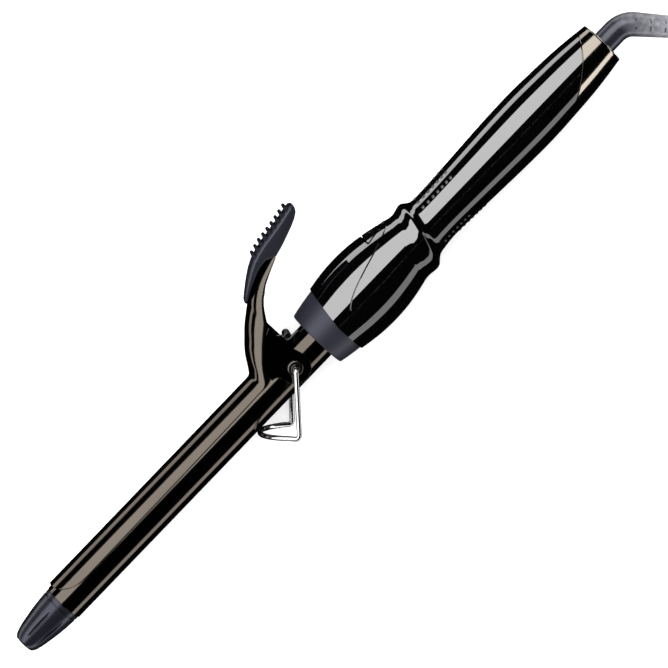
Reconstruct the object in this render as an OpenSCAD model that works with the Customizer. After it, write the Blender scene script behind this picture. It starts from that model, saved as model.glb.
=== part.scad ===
// Slim curling iron: a heated barrel with a spring clamp, a fold-out wire stand,
// a bulged handle with a press key, and a mains lead wound into a coil.
// Each piece is written with its axis along X, from the cool tip to the lead,
// with Z towards the clamp lever. placed() then lays the iron on its side.

/* [Overall] */
// Length from the cool tip to the end face of the handle
iron_len = 371.8; // [365:0.1:400]

/* [Cool tip] */
// Length of the cool tip in front of the barrel
tip_len = 24.8; // [22:0.2:30]
// Radius of the tip's flat nose
tip_nose_r = 4.5; // [3:0.1:5.5]
// Radius of the tip's rim beside the barrel
tip_rim_r = 9.15; // [8.8:0.05:9.4]
// Number of flutes round the tip
flute_count = 7; // [5:1:9]
// Radius of each flute's cut
flute_r = 1.1; // [0.6:0.1:1.4]
// Length of the spigot that plugs the barrel
spigot_len = 9; // [6:0.5:12]
// Radius of the screw in the tip
tip_screw_r = 1.5; // [1.2:0.1:1.8]

/* [Barrel] */
// Outer radius of the barrel
barrel_r = 9.5; // [9:0.1:9.8]
// Wall of the barrel's tube
barrel_wall = 1; // [0.7:0.1:1.4]
// Length of barrel held inside the handle
barrel_grip_len = 23; // [18:0.5:26]

/* [Heater] */
// Length of the ceramic heating bar
heater_len = 112; // [80:1:118]
// Width of the heating bar
heater_w = 11; // [8:0.5:12]
// Thickness of the heating bar
heater_t = 2.4; // [1.8:0.1:3]
// Distance from the barrel's front to the heating bar
heater_inset = 16; // [14:0.5:20]
// Thickness of the film round the heat spreaders
film_t = 0.2; // [0.1:0.05:0.3]

/* [Clamp] */
// Thickness of the clamp's sheet
sheet_t = 0.9; // [0.7:0.05:1]
// Gap between the clamp and the barrel
clamp_gap = 0.3; // [0.2:0.05:0.4]
// Gap from the tip's rim to the clamp's front end
clamp_front_gap = 3.1; // [2:0.1:5]
// Distance of the clamp's pivot from the tip's nose
pivot_x = 173.5; // [172:0.1:174]
// Radius of the ears round the pivot
ear_r = 7.2; // [6.5:0.1:7.6]
// Length of the clamp from its pivot forward to where the neck rises
neck_back = 16.5; // [16:0.1:17]

/* [Pivot] */
// Radius of the hollow rivet's shank
rivet_r = 2.2; // [2:0.05:2.5]
// Radius of the rivet's bore, which holds the stand
rivet_bore_r = 1.27; // [1.25:0.01:1.4]
// Radius of the rivet's head
rivet_head_r = 3.5; // [3.1:0.1:4]
// Thickness of the rivet's head
rivet_head_t = 0.6; // [0.5:0.05:0.7]
// Running clearance of the ear on the rivet
ear_play = 0.05; // [0.03:0.01:0.09]

/* [Stand] */
// Radius of the stand's wire
wire_r = 1.2; // [1:0.05:1.22]
// Distance along the barrel from the pivot to the stand's corners
stand_reach = 21.4; // [20:0.2:23]
// Depth of the corners below the barrel's axis
stand_depth = 22; // [20:0.2:23]
// Half the width of the stand at its corners
stand_half_w = 16; // [15.5:0.1:16.5]
// Radius of the round apex of the stand's foot
apex_r = 7; // [6:0.2:8]
// Gap between the folded stand and the barrel
stand_gap = 0.3; // [0.2:0.05:0.5]

/* [Thumb rest] */
// Number of ribs on the thumb rest
rib_count = 9; // [5:1:9]
// Distance from rib to rib
rib_pitch = 3.1; // [2.8:0.05:3.2]
// Height of a rib's round head above the rest
rib_h = 1.4; // [1:0.1:1.8]
// Radius of a rib's round head
rib_r = 0.6; // [0.45:0.05:0.7]
// Half the width of the thumb rest
rest_half_w = 7; // [6:0.1:7.5]

/* [Clamp spring] */
// Radius of the spring's wire
spring_wire_r = 0.4; // [0.3:0.05:0.45]
// Radius of the spring's coil at the middle of its wire
spring_coil_r = 1.45; // [1.3:0.05:1.6]
// Half the width of the coil
spring_half_w = 5; // [4:0.2:6]

/* [Collar] */
// Distance of the collar's front face from the nose
collar_x = 188.9; // [188.5:0.1:190]
// Radius of the collar at its front
collar_front_r = 14.65; // [14.3:0.05:15]
// Radius of the collar at its back
collar_back_r = 16.5; // [16:0.05:16.8]
// Length of the collar at the sides and below
collar_len = 11.1; // [10:0.1:11.5]
// Lean of the collar's back edge above the middle, in degrees
collar_lean = 9; // [0:0.5:12]
// Thickness of the collar's front wall
collar_wall = 2.5; // [2:0.1:3]

/* [Handle] */
// Largest radius of the handle
bulge_r = 19.35; // [19:0.05:19.8]
// Wall of the handle's shells
shell_wall = 2.1; // [1.8:0.1:2.4]
// Height of the ring ridge behind the bulge
ridge_h = 2.3; // [1.5:0.05:2.6]
// Distance from the collar's front face back to the ridge's middle
ridge_back = 65.1; // [64.5:0.1:66]
// Lean of the ridge, in degrees
ridge_lean = 15.6; // [8:0.1:18]
// Radius of the arc that ends the black shells
seam_r = 62; // [60:0.5:64]
// Half the width of the control cover
cover_half_w = 18.7; // [17:0.1:19]
// Half the length of the control cover's oval
cover_half_len = 41; // [40:0.1:42]
// Distance from the collar's front face back to the oval's middle
cover_back = 18.9; // [18:0.1:19.5]
// Gap round the cover and the key
trim_gap = 0.15; // [0.1:0.05:0.25]

/* [Power key] */
// Distance from the collar's front face back to the key's front edge
key_back = 47; // [46:0.1:47.5]
// Length of the key
key_len = 8.1; // [7:0.1:8.2]
// Half the width of the key at its front edge
key_front_half_w = 9.5; // [8:0.1:10]
// Half the width of the key at its back edge
key_back_half_w = 4.8; // [4:0.1:5.5]
// Travel of the key when it is pressed
key_travel = 0.8; // [0.4:0.1:0.9]

/* [Controls] */
// Thickness of the circuit board
board_t = 1.6; // [1:0.1:1.8]
// Half the width of the circuit board
board_half_w = 9.5; // [9:0.1:9.8]
// Radius of the indicator lens
lens_r = 1.2; // [1:0.1:1.3]

/* [Fasteners] */
// Radius of the shell screws' shanks
screw_r = 1.25; // [1:0.05:1.4]
// Radius of the shell screws' heads
screw_head_r = 2.3; // [2:0.1:2.5]

/* [Grip dots] */
// Radius of a grip dot
dot_r = 0.95; // [0.7:0.05:1.1]
// Height of a dot above the grip
dot_h = 0.45; // [0.3:0.05:0.6]
// Dots in each row
dot_count = 7; // [4:1:7]

/* [Strain relief] */
// Radius of the strain relief at the handle
relief_r = 5.6; // [5.2:0.1:6]
// Radius of the strain relief at its far end
relief_end_r = 4.6; // [4.3:0.1:5]

/* [Lead and plug] */
// Radius of the mains lead
cord_r = 3.25; // [3:0.05:3.4]
// Radius of the coil at the middle of its turns
coil_r = 37; // [36:0.5:38]
// Half the height and width of the coil's bundle
coil_half = 10.75; // [10.5:0.05:11]
// Width of the flat plug
plug_w = 35.3; // [34:0.1:36]
// Thickness of the flat plug
plug_t = 13.7; // [12:0.1:14]
// Length of the plug's body
plug_len = 35; // [30:0.5:38]
// Distance between the plug's pins
pin_gap = 18.6; // [18:0.1:19.2]
// Radius of the plug's pins
pin_r = 2; // [1.8:0.1:2.4]
// Length of the plug's pins
pin_len = 19; // [17:0.5:20]

/* [Hidden] */
$fn = 48;

// Lateral distances at the pivot, each from the one inside it
barrel_in = barrel_r - barrel_wall;
clamp_in = barrel_r + clamp_gap;
clamp_out = clamp_in + sheet_t;
rivet_head_y = clamp_out + 0.2;
leg_y = rivet_head_y + rivet_head_t + 0.45 + wire_r;
barrel_end = collar_x + barrel_grip_len;

// Stand, measured from the pivot. Its two ends hook into the rivets, and its foot
// ends in a round apex.
foot_rise = stand_depth - barrel_r - wire_r - stand_gap;
foot_reach = foot_rise * stand_depth / stand_reach;
foot_len = norm([foot_reach, foot_rise]);
function on_foot(y, along) = [-stand_reach - foot_reach * along / foot_len, y,
    -stand_depth + foot_rise * along / foot_len];
apex_arc = [for (t = [40:10:90])
    on_foot(apex_r * cos(t), foot_len - apex_r + apex_r * sin(t))];
stand_side = concat(rounded([[0, rivet_head_y + 0.1, 0], [0, leg_y, 0],
    [-stand_reach, stand_half_w, -stand_depth], apex_arc[0]], 2),
    [for (k = [1:len(apex_arc) - 1]) apex_arc[k]]);

// Thumb rest: distance behind the pivot, underside, top, and how much narrower than its
// full half width
rest_line = [for (s = [[5.3, 34.3, 35.6, 5.2], [6.1, 34.7, 36.6, 3.6], [8, 35.9, 37.9, 2.2],
    [10.5, 37.4, 39.7, 1.1], [13.5, 39, 41.8, 0.4], [17.5, 40.6, 44.4, 0],
    [21.5, 41.9, 46.3, 0], [25.5, 42.7, 47.5, 0], [30, 41.4, 48.5, 0], [34.5, 42.6, 49, 0],
    [39.5, 44.2, 49.7, 0], [44.5, 45.8, 50.6, 0], [48, 47.3, 51.3, 0.3],
    [50.3, 48.9, 51.2, 1], [51.1, 49.6, 50.7, 1.8]])
    [pivot_x + s[0], s[1], s[2], rest_half_w - s[3]]];
rib_x0 = pivot_x + 22.9;
function rest_top(x) = lookup(x, [for (s = rest_line) [s[0], s[2]]]);

// Middle of the iron's outline, which is the part's origin
top_z = rest_top(rib_x0 + (rib_count - 1) * rib_pitch) + rib_h;
bottom_z = min([for (p = stand_side) p.z]) - wire_r;
mid_x = iron_len / 2;
mid_z = (top_z + bottom_z) / 2;

// Outline of the handle. The bulge is given by the distance behind the collar's front
// and the radius, and the grip by the share of its length and the radius.
ridge_x = collar_x + ridge_back;
cover_x = collar_x + cover_back;
key_x = collar_x + key_back;
grip_x0 = ridge_x + 4;
grip_len = iron_len - 1 - grip_x0;
bulge_line = [[9, 16.9], [18.1, 18.45], [24.1, 19.1], [31.1, bulge_r], [39.1, 18.95],
    [47.1, 17.75], [55.1, 15.95], [63.6, 13.7]];
// Rise of the ridge ahead of its crest and behind it, as shares of its height. Its feet
// start inside the handle.
ridge_line = [[-7.4, -0.2], [-6.5, 0.1], [-5, 0.25], [-3.1, 0.6], [-1.25, 0.92], [0, 1],
    [1, 0.93], [2.25, 0.54], [4, 0.1], [4.9, -0.2]];
grip_line = [[0, 12.75], [0.053, 12.2], [0.124, 12.26], [0.284, 13.05], [0.461, 13.9],
    [0.603, 14.18], [0.727, 13.68], [0.833, 13.02], [0.922, 12.05], [1, 10.9]];
handle_line = concat([for (p = bulge_line) [collar_x + p.x, p.y]],
    [for (p = grip_line) [grip_x0 + p.x * grip_len, p.y]]);
collar_seam = collar_x + collar_len;
seam_x = iron_len - 55.3;
seam_z = seam_r - 14.5;

// Clamp neck: place along the iron, height of the springing line, height of the top,
// half the width and the angle at which the sheet's edge lies on the arch
neck_x0 = pivot_x - neck_back;
neck_line = [[-0.8, 0, clamp_out - 0.08, clamp_out - 0.08, 19],
    [0.6, 0.4, 12, clamp_out - 0.08, 17], [2.7, 2.4, 15.3, clamp_out - 0.08, 8],
    [5.3, 6, 18.9, clamp_out - 0.08, 0], [8, 9.4, 22, clamp_out - 0.08, 0],
    [10.7, 12, 24.6, clamp_out - 0.08, 0], [13.4, 14.6, 27.2, clamp_out - 0.08, 0],
    [16, 16.9, 29.4, clamp_out - 0.1, 0], [18.7, 18.9, 31.4, 10.5, 0],
    [21.4, 19.8, 33.4, 10.3, 0], [22.3, 23, 34.2, 10.2, 0], [23.5, 25.4, 35, 10, 0],
    [26, 29.5, 36.6, 9.2, 0], [28.6, 32.2, 38, 8.4, 0], [31, 34.4, 39.1, 7.8, 0],
    [34, 36.7, 40.2, 7.2, 0], [38, 38.4, 41.3, 6.8, 0], [42, 40, 42.2, 6.5, 0],
    [46, 41, 43, 6.3, 0]];

// Circuit board
board_x = barrel_end + 1;
board_end = key_x + key_len + 6;
board_z = 4;
board_top = board_z + board_t;
post_x = [board_x + 4, board_end - 4];
post_y = 7.2;
key_x_mid = key_x + key_len / 2;
switch_h = 3.5;
plunger_h = 1.2;
key_wall = 2.6;
lens_x = key_x + key_len + 2.6;

// Where the lead is clamped inside the handle, and how far out its two wires run
cord_clamp_x = grip_x0 + 0.612 * grip_len;
wire_y = 4.1;
clamp_screw_y = 6.6;
clamp_half_h = cord_r + 1;

// Shell screws
shell_screw_x = [grip_x0 + 4, grip_x0 + 0.443 * grip_len];
boss_r = screw_r + 1.6;

// Strain relief: straight stretch, bend and tapered stretch
relief_straight = 7.2;
relief_bend_r = 11;
relief_angle = 50.6;
relief_taper = 27;
relief_drop = 0.7;
relief_tip = [iron_len + relief_straight + relief_bend_r * sin(relief_angle)
        + relief_taper * cos(relief_angle),
    -relief_drop - relief_bend_r * (1 - cos(relief_angle))
        - relief_taper * sin(relief_angle)];

// Lead, in the lying position: x along the iron, y towards the lever, z up. It lands on
// the coil's outer turn, goes round the coil, and ends in the plug that lies on the coil.
function ease(t) = let (u = max(0, min(1, t))) u * u * (3 - 2 * u);
function polar(r, a) = r * [cos(a), sin(a)];
function bezier(a, b, c, d, t) = (1 - t) ^ 3 * a + 3 * (1 - t) ^ 2 * t * b
    + 3 * (1 - t) * t ^ 2 * c + t ^ 3 * d;
turn_gap = 7;
outer_turn_r = coil_r + turn_gap;
floor_turn_z = cord_r + 0.05;
top_turn_z = floor_turn_z + 2 * turn_gap;
coil_top = 2 * coil_half - 1 + 0.02;
coil_xy = relief_tip + [69.4, -0.4];
land_angle = -100;
land_xy = coil_xy + polar(outer_turn_r, land_angle);
cord_route = [for (t = [0:1 / 14:1.001])
    let (p = bezier(relief_tip, relief_tip + polar(32, -relief_angle),
        land_xy - polar(26, land_angle + 90), land_xy, t))
    [p.x, p.y, bulge_r - (bulge_r - floor_turn_z) * ease((t - 0.04) / 0.93)]];
tail_r = 30;
tail_angle = 120;
tail_sweep = 150;
tail_xy = coil_xy + polar(outer_turn_r - tail_r, tail_angle);
tail_arc = [for (g = [0:tail_sweep / 13:tail_sweep + 0.1])
    let (p = tail_xy + polar(tail_r, tail_angle + g))
    [p.x, p.y, top_turn_z + 7.1 * ease((g + 6) / 62)
        + (coil_top + plug_t / 2 + 0.03 - top_turn_z - 7.1) * ease((g - 60) / 90)]];
tail_end = tail_arc[len(tail_arc) - 1];
tail_route = concat(tail_arc, [tail_end + [2, 0, 0]]);
plug_relief_len = 14;

function unit(v) = v / norm(v);
function tangent(p, i) = unit(p[min(i + 1, len(p) - 1)] - p[max(i - 1, 0)]);
function ring(p, i, r, sides, up) =
    let (t = tangent(p, i), a = unit(cross(up, t)), b = cross(t, a))
    [for (k = [0:sides - 1]) p[i] + r * (cos(360 * k / sides) * a + sin(360 * k / sides) * b)];
// A smooth line through key points, by Catmull and Rom's rule
function at(p, i) = p[max(0, min(len(p) - 1, i))];
function curve_point(a, b, c, d, t) =
    ((2 * b) + (c - a) * t + (2 * a - 5 * b + 4 * c - d) * t * t
        + (3 * b - a - 3 * c + d) * t * t * t) / 2;
function smooth(p, steps) = concat([for (i = [0:len(p) - 2], k = [0:steps - 1])
    curve_point(at(p, i - 1), p[i], p[i + 1], at(p, i + 2), k / steps)], [p[len(p) - 1]]);

// The same line with each inner corner rounded
function rounded(p, r, steps = 5) = concat([p[0]],
    [for (i = [1:len(p) - 2], k = [0:steps])
        let (a = p[i] + r * unit(p[i - 1] - p[i]), b = p[i] + r * unit(p[i + 1] - p[i]),
            t = k / steps)
        (1 - t) * (1 - t) * a + 2 * t * (1 - t) * p[i] + t * t * b],
    [p[len(p) - 1]]);

// Joins equal closed sections of an even number of points into one solid. Each end is
// closed in strips from one half of the section to the other.
module skin(sections) {
    n = len(sections);
    m = len(sections[0]);
    last = (n - 1) * m;
    polyhedron(
        points = [for (s = sections) each s],
        faces = concat(
            [for (k = [0:m / 2 - 2]) each [[k, k + 1, m - 2 - k], [k, m - 2 - k, m - 1 - k]]],
            [for (i = [0:n - 2], k = [0:m - 1]) each
                [[i * m + k, (i + 1) * m + k, (i + 1) * m + (k + 1) % m],
                 [i * m + k, (i + 1) * m + (k + 1) % m, i * m + (k + 1) % m]]],
            [for (k = [0:m / 2 - 2]) each
                [[last + k, last + m - 2 - k, last + k + 1],
                 [last + k, last + m - 1 - k, last + m - 2 - k]]]));
}

module tube_along(p, r, sides, up = [0, 0, 1])
    skin([for (i = [0:len(p) - 1]) ring(p, i, r, sides, up)]);

// Lays the iron on its side, with its middle over the origin
module placed() translate([-mid_x, -mid_z, bulge_r]) rotate([-90, 0, 0]) children();
// The lead is written in the lying position
module lying() translate([-mid_x, -mid_z, 0]) children();

// Turns a profile of distance and radius about the iron's axis
module turned(profile) rotate([0, 90, 0]) rotate_extrude()
    polygon([for (p = profile) [p.y, p.x]]);
module rod_x(x, len, r) translate([x, 0, 0]) rotate([0, 90, 0]) cylinder(h = len, r = r);
module rod_y(x, z, y, len, r) translate([x, y, z]) rotate([-90, 0, 0])
    cylinder(h = len, r = r);
module both_sides() { children(); mirror([0, 1, 0]) children(); }

// ---- Cool tip ----
module tip_cap() color("#3a3b44") placed() difference() {
    union() {
        turned(concat([[0, 0], [0, tip_nose_r]],
            smooth([[0.9, 5.4], [4.5, 6.65], [9.8, 7.74], [15.2, 8.5], [tip_len - 2.8, 9.1]], 3),
            [[tip_len - 2.2, 8.75], [tip_len - 1.9, tip_rim_r], [tip_len, tip_rim_r],
             [tip_len, 0]]));
        rod_x(tip_len - 0.5, spigot_len + 0.5, barrel_in - 0.05);
    }
    for (i = [0:flute_count - 1])
        rotate([360 * i / flute_count + 17.6, 0, 0])
            translate([3.6, 0, 7.1]) rotate([0, 82.4, 0])
                cylinder(h = 15.5, r = flute_r);
    rod_x(tip_len + 1, spigot_len, tip_screw_r + 2);
    rod_x(-1, tip_len + 3, tip_screw_r);
    rod_x(-1, 2.5, tip_screw_r + 1.2);
}
module tip_screw() color("#8b8d92") placed() {
    rod_x(0.5, 1, tip_screw_r + 1.1);
    rod_x(1, tip_len + spigot_len + 3.5, tip_screw_r - 0.05);
}

// ---- Barrel and heater ----
module barrel() color("#2a2624") placed() difference() {
    rod_x(tip_len, barrel_end - tip_len, barrel_r);
    rod_x(tip_len - 1, barrel_end - tip_len + 2, barrel_in);
    rod_y(pivot_x, 0, -barrel_r - 1, 2 * barrel_r + 2, rivet_r);
}
heater_x = tip_len + heater_inset;
module heater_bar() color("#e8e2d4") placed()
    translate([heater_x, -heater_w / 2, -heater_t / 2]) cube([heater_len, heater_w, heater_t]);
module heat_spreaders() color("#b9bcc0") placed() difference() {
    rod_x(heater_x, heater_len, barrel_in - film_t - 0.05);
    translate([heater_x - 1, -barrel_r, -heater_t / 2])
        cube([heater_len + 2, 2 * barrel_r, heater_t]);
}
module heater_film() color("#c98a2b") placed() difference() {
    rod_x(heater_x, heater_len, barrel_in - 0.03);
    rod_x(heater_x - 1, heater_len + 2, barrel_in - film_t - 0.03);
}
lead_r = 0.8;
module heater_leads() color("#d8d5cc") placed() both_sides() translate([0, 2.6, 0])
    tube_along(rounded([[heater_x + heater_len, 0, 0], [heater_x + heater_len + 4, 0, 0],
        [barrel_end - 4, 0, board_z - lead_r - 0.6], [board_x + 8, 0, board_z - lead_r - 0.1]],
        2), lead_r, 8);
module thermal_fuse() color("#cfd2d6") placed() {
    translate([heater_x + heater_len + 1, 0, 4.4]) rotate([0, 90, 0])
        cylinder(h = 9, r = 1.4);
    rod_at(heater_x + heater_len + 10, 4.4, 0, board_x - heater_x - heater_len - 10);
}
module rod_at(x, z, y, len) translate([x, y, z]) rotate([0, 90, 0])
    cylinder(h = len, r = 0.35);
module thermistor() color("#7a3b1c") placed() {
    translate([heater_x + heater_len, -1.2, -4.8]) cube([4, 2.4, 1.6]);
    rod_at(heater_x + heater_len + 3.9, -4, -0.6, barrel_end - heater_x - heater_len);
    rod_at(heater_x + heater_len + 3.9, -4, 0.6, barrel_end - heater_x - heater_len);
}
socket_r = 12.4;
flange_r = 13.2;
module barrel_socket() color("#d9d4c6") placed() difference() {
    union() {
        rod_x(collar_x + collar_wall + 0.1, barrel_end - collar_x - collar_wall - 2, socket_r);
        rod_x(collar_x + collar_wall + 0.1, 4, flange_r);
    }
    rod_x(collar_x, barrel_grip_len + 2, barrel_r);
}

// ---- Pivot and stand ----
module pivot_rivets() color("#55504c") placed() both_sides() difference() {
    union() {
        rod_y(pivot_x, 0, barrel_in - 1, rivet_head_y - barrel_in + 1, rivet_r);
        rod_y(pivot_x, 0, rivet_head_y, rivet_head_t, rivet_head_r);
        rod_y(pivot_x, 0, barrel_in - 1.25, 0.6, rivet_r + 0.6);
    }
    rod_y(pivot_x, 0, barrel_in - 2, leg_y, rivet_bore_r);
}
function other_side(p) = [for (i = [len(p) - 2:-1:0]) [p[i].x, -p[i].y, p[i].z]];
module stand() color("#c9ccd1") placed() translate([pivot_x, 0, 0]) {
    tube_along(concat(stand_side, other_side(stand_side)), wire_r - 0.02, 12, [1, 0, 0]);
    both_sides() rod_y(0, 0, barrel_r - 0.4, rivet_head_y + 0.8 - barrel_r, wire_r);
}

// ---- Clamp ----
clamp_x0 = tip_len + clamp_front_gap;
function arch(s, inset) = [for (k = [0:10])
    let (a = s[4] + (180 - 2 * s[4]) * k / 10)
    [neck_x0 + s[0], (s[3] - inset) * cos(a), s[1] + (s[2] - s[1] - inset * 1.15) * sin(a)]];
function reversed(p) = [for (i = [len(p) - 1:-1:0]) p[i]];
module clamp() color("#2b2725") placed() {
    difference() {
        rod_x(clamp_x0, neck_x0 - clamp_x0, clamp_out);
        rod_x(clamp_x0 - 1, neck_x0 - clamp_x0 + 2, clamp_in);
        rotate([90, 0, 0]) translate([0, 0, -clamp_out - 1])
            linear_extrude(2 * clamp_out + 2) polygon([
                [clamp_x0 - 1, clamp_out + 1], [clamp_x0, clamp_out], [clamp_x0 + 0.4, 9.9],
                [clamp_x0 + 1.5, 7.8], [clamp_x0 + 3.3, 6.2], [clamp_x0 + 5.6, 4.3],
                [clamp_x0 + 9, 2.9], [clamp_x0 + 14.5, 2.1], [neck_x0 - 10, 3.3],
                [neck_x0 + 1, 3.7], [neck_x0 + 1, -clamp_out - 1],
                [clamp_x0 - 1, -clamp_out - 1]]);
    }
    skin([for (s = neck_line) concat(arch(s, 0), reversed(arch(s, sheet_t - 0.16)))]);
    both_sides() difference() {
        union() {
            rod_y(pivot_x, 0, clamp_in, sheet_t, ear_r);
            translate([0, clamp_out, 0]) rotate([90, 0, 0]) linear_extrude(sheet_t)
                polygon([[neck_x0 + 5.2, 4], [pivot_x - 9.4, 3.4], [pivot_x - ear_r, 0],
                    [pivot_x, -1], [pivot_x + ear_r, 0], [pivot_x + 6.4, 4.6],
                    [pivot_x + 5.2, 8.6], [pivot_x + 4.9, 12], [pivot_x + 4.85, 20.4],
                    [neck_x0 + 16, 17.7], [neck_x0 + 13.4, 15.4], [neck_x0 + 10.7, 12.8],
                    [neck_x0 + 8, 10.2], [neck_x0 + 5.2, 6.6]]);
        }
        rod_y(pivot_x, 0, 0, 2 * clamp_out, rivet_r + ear_play);
    }
}
function rest_section(s) = let (h = s[2] - s[1], w = s[3], c = min(1.2, h * 0.3))
    [[s[0], -w + c, s[1]], [s[0], 0, s[1]], [s[0], w - c, s[1]], [s[0], w, s[1] + c],
     [s[0], w, s[2] - c],
     [s[0], w - c, s[2] - 0.15], [s[0], 0, s[2]], [s[0], -w + c, s[2] - 0.15],
     [s[0], -w, s[2] - c], [s[0], -w, s[1] + c]];
module thumb_rest() color("#41434d") placed() difference() {
    union() {
        skin([for (s = rest_line) rest_section(s)]);
        for (i = [0:rib_count - 1]) {
            x = rib_x0 + i * rib_pitch;
            w = rest_half_w - 2.2;
            translate([x - rib_r * 0.6, -w, rest_top(x) - 1.2])
                cube([rib_r * 1.2, 2 * w, 1.2 + rib_h - rib_r]);
            rod_y(x, rest_top(x) + rib_h - rib_r, -w, 2 * w, rib_r);
        }
    }
    // Pocket for the metal tongue, with a fine gap round it
    rotate([90, 0, 0]) translate([0, 0, -6.6]) linear_extrude(13.2)
        polygon([[neck_x0 + 31, 36.6], [neck_x0 + 38, 40.1], [neck_x0 + 42, 40.1],
            [neck_x0 + 46.4, 40.7], [neck_x0 + 46.4, 43.3], [neck_x0 + 42, 42.5],
            [neck_x0 + 38, 41.6], [neck_x0 + 31, 39.4]]);
}
module clamp_spring() color("#b4b7bb") placed() {
    x = pivot_x + 7.6;
    z = barrel_r + spring_coil_r + spring_wire_r + 0.1;
    turns = floor(2 * spring_half_w / (2.3 * spring_wire_r));
    back = [for (k = [0:5]) [x + 5.2 - k * 0.8, -spring_half_w, z - spring_coil_r]];
    coil = [for (i = [0:turns * 12])
        [x - spring_coil_r * sin(i * 30), -spring_half_w + 2 * spring_half_w * i / (turns * 12),
         z - spring_coil_r * cos(i * 30)]];
    front = [for (k = [1:6]) [x - k * 1.6, spring_half_w, z - spring_coil_r + k * 2.5]];
    tube_along(concat(back, coil, front), spring_wire_r, 6, [0, 1, 0]);
}

// ---- Collar ----
module collar_side(gap = 0) {
    translate([collar_x - 20, -30, -30]) cube([collar_len + 20 + gap, 60, 60]);
    translate([collar_seam + gap, 0, 0]) rotate([0, collar_lean, 0])
        translate([-30, -30, 0]) cube([30, 60, 30]);
}
module collar() color("#474954") placed() intersection() {
    difference() {
        turned([[collar_x, 0], [collar_x, collar_front_r - 0.5], [collar_x + 0.5, collar_front_r],
            [collar_x + 5, 15.55], [collar_x + collar_len, collar_back_r],
            [collar_x + collar_len + 4, collar_back_r + 0.5], [collar_x + collar_len + 4, 0]]);
        rod_x(collar_x - 1, collar_wall + 2, barrel_r + 0.3);
        rod_x(collar_x + collar_wall, 30, flange_r + 0.1);
    }
    collar_side();
}

// ---- Handle ----
module handle_body() {
    turned(concat([[handle_line[0].x, 0]], smooth(handle_line, 3), [[iron_len - 1, 0]]));
    ridge();
}
module handle_hollow(wall = shell_wall) turned(concat([[handle_line[0].x - 1, 0]],
    [for (p = smooth(handle_line, 2)) if (p.x < iron_len - 4) [p.x, p.y - wall]],
    [[iron_len - 3, 9], [iron_len - 3, 0]]));
module seam_rod(r) rod_y(seam_x, seam_z, -30, 60, r);
// The ridge rises from the handle's outline, and leans back towards the lever
function ridge_place(x, a) = let (r = grip_r(x),
        top = r + ridge_h * lookup(x - ridge_x - tan(ridge_lean) * r * sin(a), ridge_line))
    [x, top * cos(a), top * sin(a)];
module ridge() skin([for (x = [ridge_x - 13:0.9:ridge_x + 10])
    [for (a = [0:6:354]) ridge_place(x, a)]]);
// Everything that belongs to the black shells
module shell_region() {
    translate([collar_x, -30, -30]) cube([seam_x - collar_x, 60, 60]);
    seam_rod(seam_r);
}
function oval(grow) = [for (a = [0:6:354])
    [cover_x + (cover_half_len + grow) * cos(a), (cover_half_w + grow) * sin(a)]];
module oval_post(grow) linear_extrude(30) polygon(oval(grow));
module ribs(up) {
    // Front rib, which holds the socket
    intersection() {
        translate([collar_seam + 3.5, -30, up ? 0 : -30]) cube([2.5, 60, 30]);
        difference() {
            rod_x(collar_seam + 3, 4, 17);
            rod_x(collar_seam + 2, 6, socket_r + 0.05);
        }
    }
}
module shell_half(up) intersection() {
    difference() {
        handle_body();
        handle_hollow();
        collar_side();
        rod_x(iron_len - 10, 20, relief_r + 0.2);
    }
    shell_region();
    translate([collar_x, -30, up ? 0 : -30]) cube([iron_len, 60, 30]);
}
// Bosses and posts end in the shell's wall
module inside_handle() intersection() {
    handle_body();
    children();
}
module upper_shell() color("#111113") placed() difference() {
    union() {
        difference() {
            union() {
                shell_half(true);
                ribs(true);
            }
            oval_post(trim_gap);
        }
        inside_handle() for (x = shell_screw_x)
            translate([x, 0, 0]) cylinder(h = grip_r(x) - shell_wall / 2, r = boss_r);
    }
    for (x = shell_screw_x)
        translate([x, 0, -1]) cylinder(h = 8, r = screw_r);
}
module lower_shell() color("#141416") placed() difference() {
    union() {
        shell_half(false);
        ribs(false);
        inside_handle() {
            for (x = shell_screw_x)
                translate([x, 0, -20]) cylinder(h = 20, r = boss_r);
            for (x = post_x, y = [-post_y, post_y])
                translate([x, y, -20]) cylinder(h = 20 + board_z, r = 2.2);
            for (y = [-clamp_screw_y, clamp_screw_y])
                translate([cord_clamp_x - 2, y - 1.6, -15])
                    cube([4, 3.2, 15 - relief_drop - clamp_half_h]);
        }
    }
    for (x = shell_screw_x) {
        translate([x, 0, -20]) cylinder(h = 21, r = screw_r + 0.1);
        translate([x, 0, -20]) cylinder(h = 14, r = screw_head_r + 0.1);
    }
    for (x = post_x, y = [-post_y, post_y])
        translate([x, y, board_z - 7]) cylinder(h = 8, r = 0.9);
}
module key_outline(grow) linear_extrude(40) polygon([
    [key_x - grow, -key_front_half_w - grow], [key_x + key_len + grow, -key_back_half_w - grow],
    [key_x + key_len + grow, key_back_half_w + grow],
    [key_x - grow, key_front_half_w + grow]]);
module control_cover() color("#0f0f11") placed() difference() {
    intersection() {
        difference() {
            handle_body();
            handle_hollow();
            collar_side();
        }
        oval_post(0);
    }
    translate([0, 0, 8]) key_outline(2 * trim_gap);
    translate([lens_x, 0, 5]) cylinder(h = 20, r = lens_r + 0.05);
}
module power_key() color("#1b1b1e") placed() {
    intersection() {
        difference() {
            handle_body();
            handle_hollow(key_wall);
        }
        translate([0, 0, 8]) key_outline(0);
    }
    translate([key_x_mid, 0, board_top + switch_h + plunger_h + key_travel + 0.1])
        cylinder(h = 15 - board_top - switch_h - plunger_h - key_travel, r = 2);
}
module indicator_lens() color("#c2352b") placed()
    translate([lens_x, 0, 9.6]) cylinder(h = 5.9, r = lens_r);

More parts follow.
